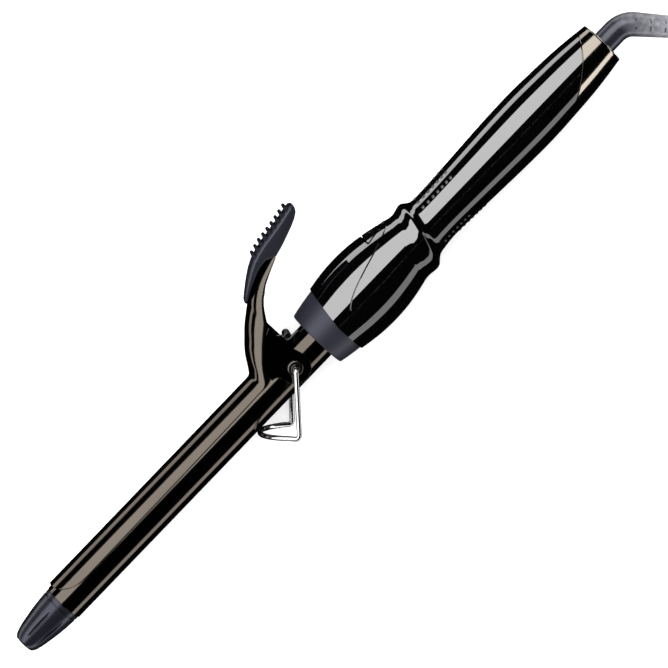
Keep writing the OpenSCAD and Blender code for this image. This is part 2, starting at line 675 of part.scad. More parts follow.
// ---- Controls ----
module circuit_board() color("#2f6b3a") placed() difference() {
    translate([board_x, -board_half_w, board_z])
        cube([board_end - board_x, 2 * board_half_w, board_t]);
    for (x = post_x, y = [-post_y, post_y])
        translate([x, y, board_z - 1]) cylinder(h = board_t + 2, r = 1.1);
}
module key_switch() color("#1f1f22") placed() {
    translate([key_x_mid - 3, -3, board_top]) cube([6, 6, switch_h]);
    translate([key_x_mid, 0, board_top + switch_h - 0.5])
        cylinder(h = plunger_h + 0.5, r = 1.6);
}
module power_led() color("#d8493d") placed() {
    translate([lens_x, 0, board_top]) cylinder(h = 2.8, r = 1);
    translate([lens_x, 0, board_top]) cylinder(h = 0.8, r = 1.4);
}
module film_capacitor() color("#b8862f") placed()
    translate([board_x + 8, -5.5, board_top]) cube([5, 11, 7.5]);
module triac() color("#222224") placed()
    translate([board_x + 16, -2.3, board_top]) cube([3.8, 4.6, 4.6]);
module board_screws() color("#8b8d92") placed()
    for (x = post_x, y = [-post_y, post_y]) {
        translate([x, y, board_top]) cylinder(h = 1.1, r = 1.9);
        translate([x, y, board_z - 5]) cylinder(h = board_t + 5.5, r = 0.9);
    }
module mains_wires() color("#5d6f8a") placed() both_sides()
    tube_along(rounded([[board_end - 5, wire_y, board_top + 1.1],
        [board_end + 2, wire_y, board_top + 1.1], [board_end + 12, wire_y, 0],
        [cord_clamp_x - 12, wire_y, 0], [cord_clamp_x - 7.5, 1.5, -relief_drop],
        [cord_clamp_x - 5, 1.5, -relief_drop]], 2), 1.05, 8);
module lead_end() color("#2c2d33") placed() translate([0, 0, -relief_drop])
    rod_x(cord_clamp_x - 5, iron_len - 6.5 - cord_clamp_x + 5, cord_r);
module cord_clamp() color("#2a2b30") placed() translate([0, 0, -relief_drop]) difference() {
    translate([cord_clamp_x - 3.5, -8.2, -clamp_half_h]) cube([7, 16.4, 2 * clamp_half_h]);
    rod_x(cord_clamp_x - 5, 10, cord_r);
    for (y = [-clamp_screw_y, clamp_screw_y])
        translate([cord_clamp_x, y, -10]) cylinder(h = 20, r = 1.1);
}
module clamp_screws() color("#8b8d92") placed() translate([0, 0, -relief_drop])
    for (y = [-clamp_screw_y, clamp_screw_y]) {
        translate([cord_clamp_x, y, clamp_half_h]) cylinder(h = 1.2, r = 1.8);
        translate([cord_clamp_x, y, -clamp_half_h]) cylinder(h = 2 * clamp_half_h + 0.5, r = 1);
    }
module shell_screws() color("#3c3c40") placed() for (x = shell_screw_x) {
    translate([x, 0, -7.4]) cylinder(h = 1.3, r = screw_head_r);
    translate([x, 0, -6.5]) cylinder(h = 13, r = screw_r - 0.05);
}

// ---- Grip dots ----
// Rows of domes: angle from the parting line, place of the first, pitch at both ends
dot_rows = [[44, grip_x0 + 6.3, 3.3, 2.5], [65, grip_x0 + 6.3, 3.3, 2.5],
    [90, grip_x0 + 6.3, 3.3, 2.5], [-51, grip_x0 + 2.4, 2.7, 2.3],
    [-70, grip_x0 + 10.5, 2.7, 2.3]];
function grip_r(x) = lookup(x, [for (p = smooth(handle_line, 3)) [p.x, p.y]]);
module grip_dots() color("#19191b") placed()
    for (row = dot_rows, side = (row[0] == 90 ? [0] : [0, 1]), i = [0:dot_count - 1]) {
        x = row[1] + row[2] * i - (row[2] - row[3]) * i * (i - 1) / 12;
        a = side == 0 ? row[0] : 180 - row[0];
        rotate([a - 90, 0, 0]) translate([x, 0, grip_r(x) - 0.1])
            intersection() {
                cylinder(h = dot_h + 0.1, r = dot_r);
                translate([0, 0, dot_h + 0.1 - 1.35]) sphere(r = 1.35);
            }
    }

// ---- End of the handle ----
module end_cap() color("#37322f") placed() difference() {
    intersection() {
        union() {
            handle_body();
            turned([[iron_len - 1.2, 0], [iron_len - 1.2, 10.95], [iron_len - 0.3, 10.7],
                [iron_len, 10.2], [iron_len, 0]]);
        }
        translate([seam_x, -30, -30]) cube([80, 60, 60]);
    }
    handle_hollow();
    seam_rod(seam_r);
    rod_x(iron_len - 10, 20, relief_r + 1.4);
}
module end_ring() color("#c8c3ba") placed() difference() {
    rod_x(iron_len - 3, 3, relief_r + 1.35);
    translate([0, 0, -relief_drop]) rod_x(iron_len - 4, 6, relief_r + 0.05);
}

// ---- Lead ----
module strain_relief() color("#3f414a") placed() translate([0, 0, -relief_drop]) {
    rod_x(iron_len - 5, relief_straight + 5, relief_r);
    rod_x(iron_len - 6.5, 3, relief_r + 1.6);
    translate([iron_len + relief_straight, 0, -relief_bend_r]) rotate([90, 0, 0]) {
        rotate([0, 0, 90 - relief_angle]) rotate_extrude(angle = relief_angle)
            translate([relief_bend_r, 0]) circle(r = relief_r - 0.1);
        rotate([0, 0, 90 - relief_angle]) translate([relief_bend_r, 0, 0])
            rotate([90, 0, 0]) cylinder(h = relief_taper, r1 = relief_r - 0.1,
                r2 = relief_end_r);
    }
}
module cord_lead() color("#2c2d33") lying() tube_along(cord_route, cord_r, 12);
module cord_coil() color("#2c2d33") lying() translate(coil_xy) rotate_extrude()
    translate([coil_r - coil_half, 0.02]) polygon([[3.5, 0], [2 * coil_half - 3.5, 0],
        [2 * coil_half, 4], [2 * coil_half, 2 * coil_half - 6],
        [2 * coil_half - 5, 2 * coil_half - 1], [5, 2 * coil_half - 1],
        [0, 2 * coil_half - 6], [0, 4]]);
module cord_tie() color("#1d1d20") lying() translate([coil_xy.x, coil_xy.y + coil_r, coil_half])
    rotate([90, 0, 90]) translate([0, 0, -3]) difference() {
        translate([-coil_half - 1.2, -coil_half + 0.02, 0])
            cube([2 * coil_half + 2.4, 2 * coil_half, 6]);
        translate([-coil_half - 0.3, -coil_half - 1, -1])
            cube([2 * coil_half + 0.6, 2 * coil_half + 0.1, 8]);
    }
module cord_tail() color("#2c2d33") lying() tube_along(tail_route, cord_r, 12);
// The plug, from the lead's end at the origin, with its pins along X
module plugged() lying() translate(tail_end) children();
module plug_relief() color("#2a2b30") plugged()
    rotate([0, 90, 0]) cylinder(h = plug_relief_len, r1 = 4, r2 = 5.2);
module plug_body() color("#2a2b30") plugged() translate([plug_relief_len, 0, -plug_t / 2])
    linear_extrude(plug_t) polygon([[0, -6], [0, 6], [6, plug_w / 2 - 8.5],
        [plug_len * 0.55, plug_w / 2 - 0.6], [plug_len - 5, plug_w / 2],
        [plug_len, plug_w / 2 - 5], [plug_len, -plug_w / 2 + 5],
        [plug_len - 5, -plug_w / 2], [plug_len * 0.55, -plug_w / 2 + 0.6],
        [6, -plug_w / 2 + 8.5]]);
module plug_pins() color("#cfc9a8") plugged() for (s = [-1, 1])
    translate([plug_relief_len + plug_len, s * pin_gap / 2, 0])
        rotate([0, 90, 0]) cylinder(h = pin_len, r = pin_r);

tip_cap();
tip_screw();
barrel();
heater_bar();
heat_spreaders();
heater_film();
heater_leads();
thermal_fuse();
thermistor();
barrel_socket();
pivot_rivets();
clamp();
thumb_rest();
clamp_spring();
stand();
collar();
upper_shell();
lower_shell();
control_cover();
power_key();
indicator_lens();
circuit_board();
key_switch();
power_led();
film_capacitor();
triac();
board_screws();
mains_wires();
lead_end();
cord_clamp();
clamp_screws();
shell_screws();
grip_dots();
end_cap();
end_ring();
strain_relief();
cord_lead();
cord_coil();
cord_tie();
cord_tail();
plug_relief();
plug_body();
plug_pins();
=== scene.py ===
# Slim curling iron lying on its side: a dark mirror barrel with a spring clamp and a
# wire stand, a gloss black handle, and a mains lead wound into a coil.
from math import asin, atan2, cos, hypot, pi, radians, sin, sqrt, tan
import bpy
from mathutils import Matrix, Vector


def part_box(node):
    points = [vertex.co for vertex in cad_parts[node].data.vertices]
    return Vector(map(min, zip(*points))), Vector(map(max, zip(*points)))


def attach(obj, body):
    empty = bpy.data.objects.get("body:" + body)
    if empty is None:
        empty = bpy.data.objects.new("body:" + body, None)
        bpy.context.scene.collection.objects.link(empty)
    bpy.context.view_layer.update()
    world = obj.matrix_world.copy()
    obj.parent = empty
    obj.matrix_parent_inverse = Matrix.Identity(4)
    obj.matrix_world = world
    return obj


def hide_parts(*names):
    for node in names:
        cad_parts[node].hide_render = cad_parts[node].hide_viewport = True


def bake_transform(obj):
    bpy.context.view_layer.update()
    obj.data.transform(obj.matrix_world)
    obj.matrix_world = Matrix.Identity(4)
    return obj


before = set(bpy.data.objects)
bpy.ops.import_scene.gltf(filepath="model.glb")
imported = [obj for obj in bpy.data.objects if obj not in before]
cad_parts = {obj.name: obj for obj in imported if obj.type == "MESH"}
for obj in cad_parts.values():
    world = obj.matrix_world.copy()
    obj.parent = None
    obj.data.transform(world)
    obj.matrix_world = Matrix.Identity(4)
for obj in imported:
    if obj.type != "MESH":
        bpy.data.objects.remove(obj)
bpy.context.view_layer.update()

# ---- Where the iron lies ----
# The iron's axis runs along X, from the cool tip to the lead, at the height of the
# handle's largest radius. The clamp lever points along +Y.
mm = 0.001
barrel_low, barrel_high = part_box("barrel")
nose_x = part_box("tip_cap")[0].x
axis_y = (barrel_low.y + barrel_high.y) / 2
axis_z = (barrel_low.z + barrel_high.z) / 2


def at(along, lever=0, up=0):
    """A place from millimetres along the axis, towards the lever, and up from the axis."""
    return Vector((nose_x + along * mm, axis_y + lever * mm, axis_z + up * mm))


# ---- Camera ----
# It looks down on the iron from 1.8 m, tipped a little towards the lever's side, with
# the iron running up across the picture and the lead leaving it at the corner.
def placed(name, data):
    """A new object in the scene, with this name and data."""
    made = bpy.data.objects.new(name, data)
    bpy.context.scene.collection.objects.link(made)
    return made


camera_tip = radians(11.4)
camera_turn = radians(46.06)
camera_distance = 1.83
frame_width = 0.298
facing = Vector((0.055, sin(camera_tip), cos(camera_tip))).normalized()
across = Vector((0, cos(camera_tip), -sin(camera_tip)))
aim = at(195.8) - 3.9 * mm * across
right = Vector((1, 0, 0)) * cos(camera_turn) - across * sin(camera_turn)
right = (right - right.dot(facing) * facing).normalized()
upward = facing.cross(right)
camera_data = bpy.data.cameras.new("camera")
camera_data.sensor_width = 36
camera_data.lens = 36 * camera_distance / frame_width
camera_data.clip_end = 20
camera = placed("camera", camera_data)
camera.matrix_world = Matrix.Translation(aim + facing * camera_distance) @ Matrix(
    (right, upward, facing)).transposed().to_4x4()
bpy.context.scene.camera = camera

# ---- Table and studio light ----
# A plain pale table. Long soft boxes hang beside the iron and draw its highlights: a wide
# one above on the lever's side, a low one beyond the lever, and on the stand's side one
# for each group of pieces. The room is white to the table and dark to the polished ones.
bpy.context.scene.view_settings.view_transform = "Standard"
bpy.ops.mesh.primitive_plane_add(size=8, location=(0.1, 0, 0))
table = bpy.context.object
table.name = "table"
table.visible_glossy = False


def feed(tree, node, inputs):
    """Gives a node its inputs: a socket is linked, and a value is set."""
    for label, value in inputs.items():
        if isinstance(value, bpy.types.NodeSocket):
            tree.links.new(value, node.inputs[label])
        else:
            node.inputs[label].default_value = value


def add_node(tree, kind, inputs=None, **settings):
    """A new shader node with its settings and inputs."""
    node = tree.nodes.new("ShaderNode" + kind)
    for name, value in settings.items():
        setattr(node, name, value)
    feed(tree, node, inputs or {})
    return node


def blank_material(name):
    """A new material, its node tree and its shader."""
    made = bpy.data.materials.new(name)
    made.use_nodes = True
    return made, made.node_tree, made.node_tree.nodes["Principled BSDF"]


table_paint, paint_tree, table_shader = blank_material("table_paint")
feed(paint_tree, table_shader, {"Base Color": (0.88, 0.88, 0.88, 1), "Roughness": 0.9,
    "Specular IOR Level": 0, "Emission Color": (1, 1, 1, 1), "Emission Strength": 0.42})
table.data.materials.append(table_paint)

room = bpy.data.worlds.new("room")
room.use_nodes = True
bpy.context.scene.world = room
room_tree = room.node_tree
white = room_tree.nodes["Background"]
feed(room_tree, white, {"Color": (1, 1, 1, 1), "Strength": 0.95})
dark = add_node(room_tree, "Background", {"Color": (1, 1, 1, 1), "Strength": 0.004})
ray = add_node(room_tree, "LightPath")
by_ray = add_node(room_tree, "MixShader", {"Fac": ray.outputs["Is Glossy Ray"],
    1: white.outputs["Background"], 2: dark.outputs["Background"]})
feed(room_tree, room_tree.nodes["World Output"], {"Surface": by_ray.outputs["Shader"]})
lamp_distance, lamp_reach = 1.6, 5.5


def soft_box(name, low, high, radiance, behind=lamp_reach, only=None):
    """A long lamp that fills the directions from low to high, in degrees from straight
    up towards the lever's side. It reaches ahead of the iron and behind it, and lights
    only the pieces of a collection where one is given."""
    middle = radians((low + high) / 2)
    away = Vector((0, sin(middle), cos(middle)))
    width = 2 * lamp_distance * tan(radians(high - low) / 2)
    lamp_data = bpy.data.lights.new(name, "AREA")
    lamp_data.shape = "RECTANGLE"
    length = lamp_reach + behind
    lamp_data.size = length
    lamp_data.size_y = width
    lamp_data.energy = radiance * pi * length * width
    lamp = placed(name, lamp_data)
    middle_x = Vector(((behind - lamp_reach) / 2, 0, 0))
    lamp.matrix_world = Matrix.Translation(at(190) + middle_x + away * lamp_distance
        ) @ Matrix((Vector((1, 0, 0)), away.cross(Vector((1, 0, 0))), away)
        ).transposed().to_4x4()
    lamp.visible_camera = False
    if only:
        lamp.light_linking.receiver_collection = only


soft_box("wide_box", 14.8, 66, 3.2, behind=1.2)
soft_box("low_box", 99, 121, 2.2)
sides = {}
for kind, name, *beam in (("metal", "slim_box", -87, -65, 2.4),
        ("gloss", "dim_box", -79, -57, 0.95), ("end", "end_box", -71, -50, 3.9)):
    sides[kind] = bpy.data.collections.new(kind + "_side")
    soft_box(name, *beam, only=sides[kind])

# ---- Mains lead ----
# A round two-core lead of 6.5 mm in a satin sheath. It leaves the strain relief, lands
# on the table, goes about eight turns round a coil, and comes up over the turns to a
# flat two-pin plug that lies on them.
cord_r = 3.25
relief_end = Vector((404.643, -25.582))
relief_bend = 50.6
coil_centre = relief_end + Vector((69.4, -0.4))
coil_mid_r = 37
turn_gap = 7
outer_turn_r = coil_mid_r + turn_gap
floor_turn_z = 3.3
top_turn_z = floor_turn_z + 2 * turn_gap
plug_axis_z = 20.52 + 6.85 + 0.03
landing_angle = -100
# The places of the turns in the bundle (column, row), from the lead's to the plug's
turn_places = [(1, 0), (0, 0), (-1, 0), (-1, 1), (-1, 2), (0, 2), (0, 1), (1, 1), (1, 2)]
coil_sweep = 2740
first_step = 165
step_in = {"rise": 75, "cross": 100}
tail_r = 30
tail_angle = 120
tail_sweep = 150


def ease(t):
    t = max(0, min(1, t))
    return t * t * (3 - 2 * t)


def polar(radius, degrees):
    return Vector((cos(radians(degrees)), sin(radians(degrees)))) * radius


def on_table(x, y, z):
    """A place from millimetres along the iron, towards the lever, and up from the table."""
    return Vector((nose_x + x * mm, axis_y + y * mm, z * mm))


def on_curve(t, handles):
    """Where a curve with four handles is at t, from 0 to 1, in two directions."""
    shares = ((1 - t) ** 3, 3 * (1 - t) ** 2 * t, 3 * (1 - t) * t ** 2, t ** 3)
    return [sum(s * h[k] for s, h in zip(shares, handles)) for k in (0, 1)]


landing = coil_centre + polar(outer_turn_r, landing_angle)
lead_handles = (relief_end, relief_end + polar(32, -relief_bend),
    landing - polar(26, landing_angle + 90), landing)
cord_points = []
for k in range(15):
    t = k / 14
    height = axis_z / mm - (axis_z / mm - floor_turn_z) * ease((t - 0.04) / 0.93)
    cord_points.append(on_table(*on_curve(t, lead_handles), height))

moves = ["rise" if a[0] == b[0] else "cross" for a, b in zip(turn_places, turn_places[1:])]
step_starts = [first_step]
for before, after in zip(moves, moves[1:]):
    early = {("rise", "cross"): 40, ("cross", "rise"): 60}.get((before, after), 0)
    step_starts.append(step_starts[-1] + 360 - early)
for swept in range(10, coil_sweep + 1, 10):
    column, row = turn_places[0]
    for k, start in enumerate(step_starts):
        part = ease((swept - start) / step_in[moves[k]])
        column += (turn_places[k + 1][0] - turn_places[k][0]) * part
        row += (turn_places[k + 1][1] - turn_places[k][1]) * part
    place = coil_centre + polar(coil_mid_r + column * turn_gap, landing_angle + swept)
    cord_points.append(on_table(*place, floor_turn_z + row * turn_gap))

tail_centre = coil_centre + polar(outer_turn_r - tail_r, tail_angle)
climb = 7.1
for k in range(1, 15):
    turned_by = tail_sweep * k / 14
    place = tail_centre + polar(tail_r, tail_angle + turned_by)
    cord_points.append(on_table(*place, top_turn_z + climb * ease((turned_by + 6) / 62)
        + (plug_axis_z - top_turn_z - climb) * ease((turned_by - 60) / 90)))
plug_end = cord_points[-1].copy()
cord_points.append(plug_end + Vector((2 * mm, 0, 0)))


def round_line(name, places, radius, kind="POLY", rounding=3):
    """A round bar of a radius in millimetres along a line of places, as a curve."""
    curve = bpy.data.curves.new(name, "CURVE")
    curve.dimensions = "3D"
    curve.bevel_depth = radius * mm
    curve.bevel_resolution = rounding
    curve.use_fill_caps = True
    spline = curve.splines.new(kind)
    spline.points.add(len(places) - 1)
    for point, place in zip(spline.points, places):
        point.co = (*place, 1)
    return placed(name, curve)


mains_cord = round_line("mains_cord", cord_points, cord_r, "NURBS", 5)
mains_cord.data.resolution_u = 3
mains_cord.data.splines[0].order_u = 4
mains_cord.data.splines[0].use_endpoint_u = True


def noise(tree, scale, detail, place=None):
    """A noise from 0 to 1, in the object's own space unless a place is given."""
    place = place or add_node(tree, "TexCoord").outputs["Object"]
    return add_node(tree, "TexNoise", {"Vector": place, "Scale": scale,
        "Detail": detail}).outputs["Fac"]


# Moulded grain: fine pits over the whole surface, with broad faint patches where hands
# have polished it. Height feeds a bump, and Roughness and Tone vary the finish.
grain = bpy.data.node_groups.new("moulded grain", "ShaderNodeTree")
for label, value in (("Grain", 2600), ("Patch", 45), ("Roughness", 0.45),
        ("Variation", 0.08)):
    socket = grain.interface.new_socket(label, in_out="INPUT", socket_type="NodeSocketFloat")
    socket.default_value = value
for label in ("Height", "Roughness", "Tone"):
    grain.interface.new_socket(label, in_out="OUTPUT", socket_type="NodeSocketFloat")
grain_in = grain.nodes.new("NodeGroupInput").outputs
patches = noise(grain, grain_in["Patch"], 4)
centred = add_node(grain, "Math", {0: patches, 1: 0.5}, operation="SUBTRACT")
spread = add_node(grain, "Math", {0: centred.outputs[0], 1: grain_in["Variation"],
    2: grain_in["Roughness"]}, operation="MULTIPLY_ADD")
feed(grain, grain.nodes.new("NodeGroupOutput"), {"Height": noise(grain,
    grain_in["Grain"], 3), "Roughness": spread.outputs[0], "Tone": patches})


def finish(name, colour, roughness, metallic=0, ior=1.5, level=0.5):
    """A new material with a plain finish, its node tree and its shader."""
    made, tree, shader = blank_material(name)
    feed(tree, shader, {"Base Color": (*colour, 1), "Roughness": roughness,
        "Metallic": metallic, "IOR": ior, "Specular IOR Level": level})
    return made, tree, shader


def shade(tree, shader, colour, low, high, tone, height, depth):
    """Varies the colour between low and high times itself, and adds a bump whose depth
    is in millimetres."""
    tint = add_node(tree, "Mix", {"Factor": tone, "A": (*(c * low for c in colour), 1),
        "B": (*(c * high for c in colour), 1)}, data_type="RGBA")
    bump = add_node(tree, "Bump", {"Distance": depth * mm, "Height": height})
    feed(tree, shader, {"Base Color": tint.outputs["Result"],
        "Normal": bump.outputs["Normal"]})


def moulded(name, colour, roughness, depth=0.04, grain_scale=2600, variation=0.1,
        light=1.25, level=0.5, glint=(1, 1, 1)):
    """A moulded plastic or rubber: its colour varies a little, and its pits catch light.
    depth is the pits' depth in millimetres, and glint tints what it reflects."""
    made, tree, shader = finish(name, colour, roughness, level=level)
    surface = add_node(tree, "Group", {"Grain": grain_scale, "Roughness": roughness,
        "Variation": variation}, node_tree=grain)
    shade(tree, shader, colour, 1 / light, light, surface.outputs["Tone"],
        surface.outputs["Height"], depth)
    feed(tree, shader, {"Specular Tint": (*glint, 1),
        "Roughness": surface.outputs["Roughness"]})
    return made


cord_sheath = moulded("cord_sheath", (0.045, 0.046, 0.056), 0.5)
mains_cord.data.materials.append(cord_sheath)
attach(mains_cord, "iron")
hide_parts("cord_lead", "cord_coil", "cord_tail")

# ---- Cool tip ----
# A moulded heat-proof plug that closes the barrel's front, so that the hot iron can be
# held there. It is satin blue-grey, with seven flutes and a screw in its flat nose.
def chosen(*pieces):
    """Selects these pieces alone and makes the first of them active."""
    if bpy.context.object and bpy.context.object.mode != "OBJECT":
        bpy.ops.object.mode_set(mode="OBJECT")
    bpy.ops.object.select_all(action="DESELECT")
    for piece in pieces[::-1]:
        piece.select_set(True)
        bpy.context.view_layer.objects.active = piece


def smooth_line(keys, gap=0.7, hold=2):
    """Places along a smooth line through key places, about gap millimetres apart."""
    points = [Vector(k) for k in keys]
    ends = [points[0] * 2 - points[1], *points, points[-1] * 2 - points[-2]]
    line = []
    for a, b, c, d in zip(ends, ends[1:], ends[2:], ends[3:]):
        steps = max(hold, round((c - b).length / gap))
        for k in range(steps):
            t = k / steps
            line.append((2 * b + (c - a) * t + (2 * a - 5 * b + 4 * c - d) * t * t
                + (3 * b - a - 3 * c + d) * t ** 3) / 2)
    return line + [points[-1]]


def closed_up(angle=32):
    """Merges the active piece's doubles, turns its faces outwards and leaves it smooth,
    with edges sharper than the angle kept."""
    bpy.ops.object.mode_set(mode="EDIT")
    bpy.ops.mesh.select_all(action="SELECT")
    bpy.ops.mesh.remove_doubles(threshold=0.002 * mm)
    bpy.ops.mesh.normals_make_consistent(inside=False)
    bpy.ops.object.mode_set(mode="OBJECT")
    bpy.ops.object.shade_smooth_by_angle(angle=radians(angle))


def turned(name, outline, steps=96, centre=None, axis=(1, 0, 0), away=(0, 1, 0)):
    """A piece turned about an axis from its outline of distances and radii in mm, which
    is a point extruded from place to place."""
    start = at(0) if centre is None else centre
    axis, away = Vector(axis), Vector(away)
    places = [start + (axis * p[0] + away * p[1]) * mm for p in outline]
    chosen()
    bpy.ops.mesh.primitive_circle_add(vertices=3, radius=mm)
    piece = bpy.context.object
    piece.name = piece.data.name = name
    bpy.ops.object.mode_set(mode="EDIT")
    bpy.ops.mesh.merge(type="CENTER")
    bpy.ops.transform.translate(value=places[0])
    for before, after in zip(places, places[1:]):
        bpy.ops.mesh.extrude_region_move(TRANSFORM_OT_translate={"value": after - before})
    bpy.ops.mesh.select_all(action="SELECT")
    bpy.ops.mesh.spin(steps=steps, angle=2 * pi, center=start, axis=axis)
    closed_up()
    return piece


def shaped(piece, kind, **settings):
    """Applies a modifier to a piece."""
    chosen(piece)
    modifier = piece.modifiers.new("shape", kind)
    for name, value in settings.items():
        setattr(modifier, name, value)
    bpy.ops.object.modifier_apply(modifier="shape")
    return piece


def carved(piece, cutter, operation="DIFFERENCE"):
    """Cuts the cutter out of the piece, or joins it, and removes the cutter."""
    shaped(piece, "BOOLEAN", operation=operation, solver="EXACT", object=cutter)
    bpy.data.objects.remove(cutter)


def smoothed(piece, angle):
    """Smooths the piece, with edges sharper than the angle kept."""
    chosen(piece)
    bpy.ops.object.shade_smooth_by_angle(angle=radians(angle))


def rounded(piece, width, segments=2, angle=32):
    """Rounds the piece's sharp edges, with clean normals on its large faces."""
    shaped(piece, "BEVEL", width=width * mm, segments=segments, limit_method="ANGLE",
        angle_limit=radians(angle))
    smoothed(piece, 50)
    return piece


def fitted(piece, body, material, *nodes, slot=None):
    """Gives a finished piece its finish and its body, puts it with the lamps for its kind, and
    hides the solids that it stands for. The kind follows the finish's name, without Blender's
    number, unless a slot is given."""
    piece.data.materials.clear()
    piece.data.materials.append(material)
    slot = slot or material.name.split(".")[0]
    kind = "gloss" if "gloss" in slot else "end" if slot == "end_metal" else "metal"
    sides[kind].objects.link(piece)
    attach(piece, body)
    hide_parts(*nodes)


tip_len = 24.8
rim_r, neck_r, spigot_r = 9.15, 8.5, 8.4
tip_outline = [(9, 0), (9, 3), (1.4, 3), (1.4, 3.55), (-1, 3.55), (-1, 4.2), (-0.9, 4.65),
    (-0.6, 4.98)]
tip_outline += smooth_line([(0.1, 5.5), (1.6, 6.12), (4.3, 6.85), (9.7, 7.82),
    (15, 8.55), (tip_len - 2.8, rim_r)])
tip_outline += [(tip_len - back, r) for back, r in ((2.62, 9.07), (2.5, neck_r),
    (2, neck_r), (1.92, 9.05), (1.82, rim_r), (0.12, rim_r), (0, 9.05), (0, spigot_r),
    (-9, spigot_r), (-9, 0))]
tip_cap = turned("cool_tip", tip_outline)
flute_count, flute_len, flute_r = 7, 16.2, 0.66
flute_lean = radians(8.4)
first_flute = 17.6
for k in range(flute_count):
    turn = radians(360 * k / flute_count + first_flute)
    outward = Vector((0, cos(turn), sin(turn)))
    along = Vector((cos(flute_lean), 0, 0)) + outward * sin(flute_lean)
    side = outward.cross(along).normalized()
    for deep in (1, 0.5, 0):
        flute = turned("flute", [(flute_len * t / 12,
            flute_r * sin(pi * t / 12) ** 0.7 if t < 12 else 0)
            for t in range(13)], 20, at(3) + outward * (6.6 - deep) * mm, along, side)
        carved(tip_cap, flute)
rounded(tip_cap, 0.12)
fitted(tip_cap, "iron", moulded("tip_plastic", (0.006, 0.0063, 0.0095), 0.25, depth=0.015,
    glint=(0.8, 0.82, 1)), "tip_cap")

# ---- Barrel ----
# A drawn tube of 19 mm with a dark mirror coat, which the heating bar warms from inside.
# It turns warm grey where it reflects light, and has fine lines from polishing.
barrel_r = 9.5
barrel = turned("heated_barrel", [(tip_len, 8.5), (tip_len, 9.3), (tip_len + 0.2, barrel_r)]
    + [(tip_len + 0.2 + 187 * k / 60, barrel_r) for k in range(1, 61)]
    + [(211.9, 9.4), (211.9, 8.5), (tip_len, 8.5)], 128)
pivot_x = 173.5


def rod(low, high, radius, centre, axis, steps=40):
    """A plain round rod along an axis, from low to high."""
    return turned("rod", [(low, 0), (low, radius), (high, radius), (high, 0)], steps, centre,
        axis, (1, 0, 0))


for side in (-1, 1):
    carved(barrel, rod(7, 11, 2.2, at(pivot_x), (0, 0, side)))


def metal(name, colour, roughness):
    """Coated metal with fine lines along the iron and a faint heat tint."""
    made, tree, shader = finish(name, colour, roughness, metallic=1)
    place = add_node(tree, "TexCoord").outputs["Object"]
    drawn_out = add_node(tree, "Mapping", {"Vector": place, "Scale": (6, 400, 400)})
    streaks = noise(tree, 6, 4, drawn_out.outputs["Vector"])
    shade(tree, shader, colour, 0.86, 1.14, noise(tree, 22, 3), streaks, 0.004)
    feed(tree, shader, {"Roughness": add_node(tree, "MapRange", {"Value": streaks,
        "To Min": roughness - 0.03, "To Max": roughness + 0.03}).outputs["Result"]})
    return made


fitted(barrel, "iron", metal("barrel_metal", (0.079, 0.068, 0.057), 0.09), "barrel")

# ---- Clamp ----
# One pressed sheet of 0.9 mm in the barrel's coat: a shell that lies on the barrel, a
# neck that rises as an arch, and two ears on the pivot's rivets.
clamp_x0 = tip_len + 2.3
clamp_in = barrel_r + 0.3
sheet_t = 0.9
clamp_out = clamp_in + sheet_t
neck_x0 = pivot_x - 16.5
mid_r = clamp_in + sheet_t / 2
edge_line = smooth_line([(0.05, 10.3), (0.4, 9.2), (1.5, 7.6), (3.3, 6), (5.6, 4.5),
    (9, 3.1), (14.5, 2.3), (40, 2.5), (80, 2.85), (115, 3.3), (126.2, 3.6)], 1.6, 2)


def arch(start):
    """Angles from a start on one side, over the top, to the same on the other side."""
    return [start + (pi - 2 * start) * k / 40 for k in range(41)]


shell_rows = []
for x, height in edge_line:
    start = asin(max(-1, min(1, height / mid_r)))
    shell_rows.append([(clamp_x0 + x, mid_r * sin(a), mid_r * cos(a)) for a in arch(start)])
# The neck: distance, springing, top, half width and edge angle of each arch
neck_keys = [(-2.6, 0, 10.71, 10.7, 20.4), (-1.3, 0, 10.85, 10.7, 20.1),
    (-0.2, 0.1, 11.35, 10.68, 18.8), (1, 0.8, 12.65, 10.65, 15), (2.7, 2.4, 15.1, 10.62, 8),
    (5.3, 6, 18.9, 10.62, 0), (8, 9.4, 22, 10.62, 0), (10.7, 12, 24.6, 10.62, 0),
    (13.4, 14.6, 27.2, 10.62, 0), (16, 16.9, 29.4, 10.6, 0), (18.7, 19.2, 31.4, 10.5, 0),
    (21.4, 21.6, 33.4, 10.3, 0), (23.5, 24.8, 35, 10, 0), (26, 28.3, 36.6, 9.2, 0),
    (28.6, 31, 38, 8.4, 0), (31, 32.7, 39.1, 7.8, 0), (34, 34.8, 40.2, 7.2, 0),
    (38, 36.7, 41.3, 6.8, 0), (42, 38.4, 42.2, 6.5, 0), (46, 40, 43, 6.3, 0)]
for dx, spring, top, half_w, edge in smooth_line(neck_keys, 1.2):
    shell_rows.append([(neck_x0 + dx, spring + (top - spring - 0.45) * sin(a),
        (half_w - 0.45) * cos(a)) for a in arch(radians(max(0, edge)))])


def lofted(name, rows, wall=0):
    """A sheet through equal rows of places (along, lever, up), with a wall about it."""
    mesh = bpy.data.meshes.new(name)
    width = len(rows[0])
    mesh.from_pydata([at(*p) for row in rows for p in row], [],
        [(i * width + k, i * width + k + 1, (i + 1) * width + k + 1, (i + 1) * width + k)
         for i in range(len(rows) - 1) for k in range(width - 1)])
    piece = placed(name, mesh)
    chosen(piece)
    closed_up()
    if wall:
        shaped(piece, "SOLIDIFY", thickness=wall * mm, offset=0)
    return piece


clamp = lofted("clamp_arm_sheet", shell_rows, sheet_t)
rounded(clamp, 0.1)
smoothed(clamp, 40)


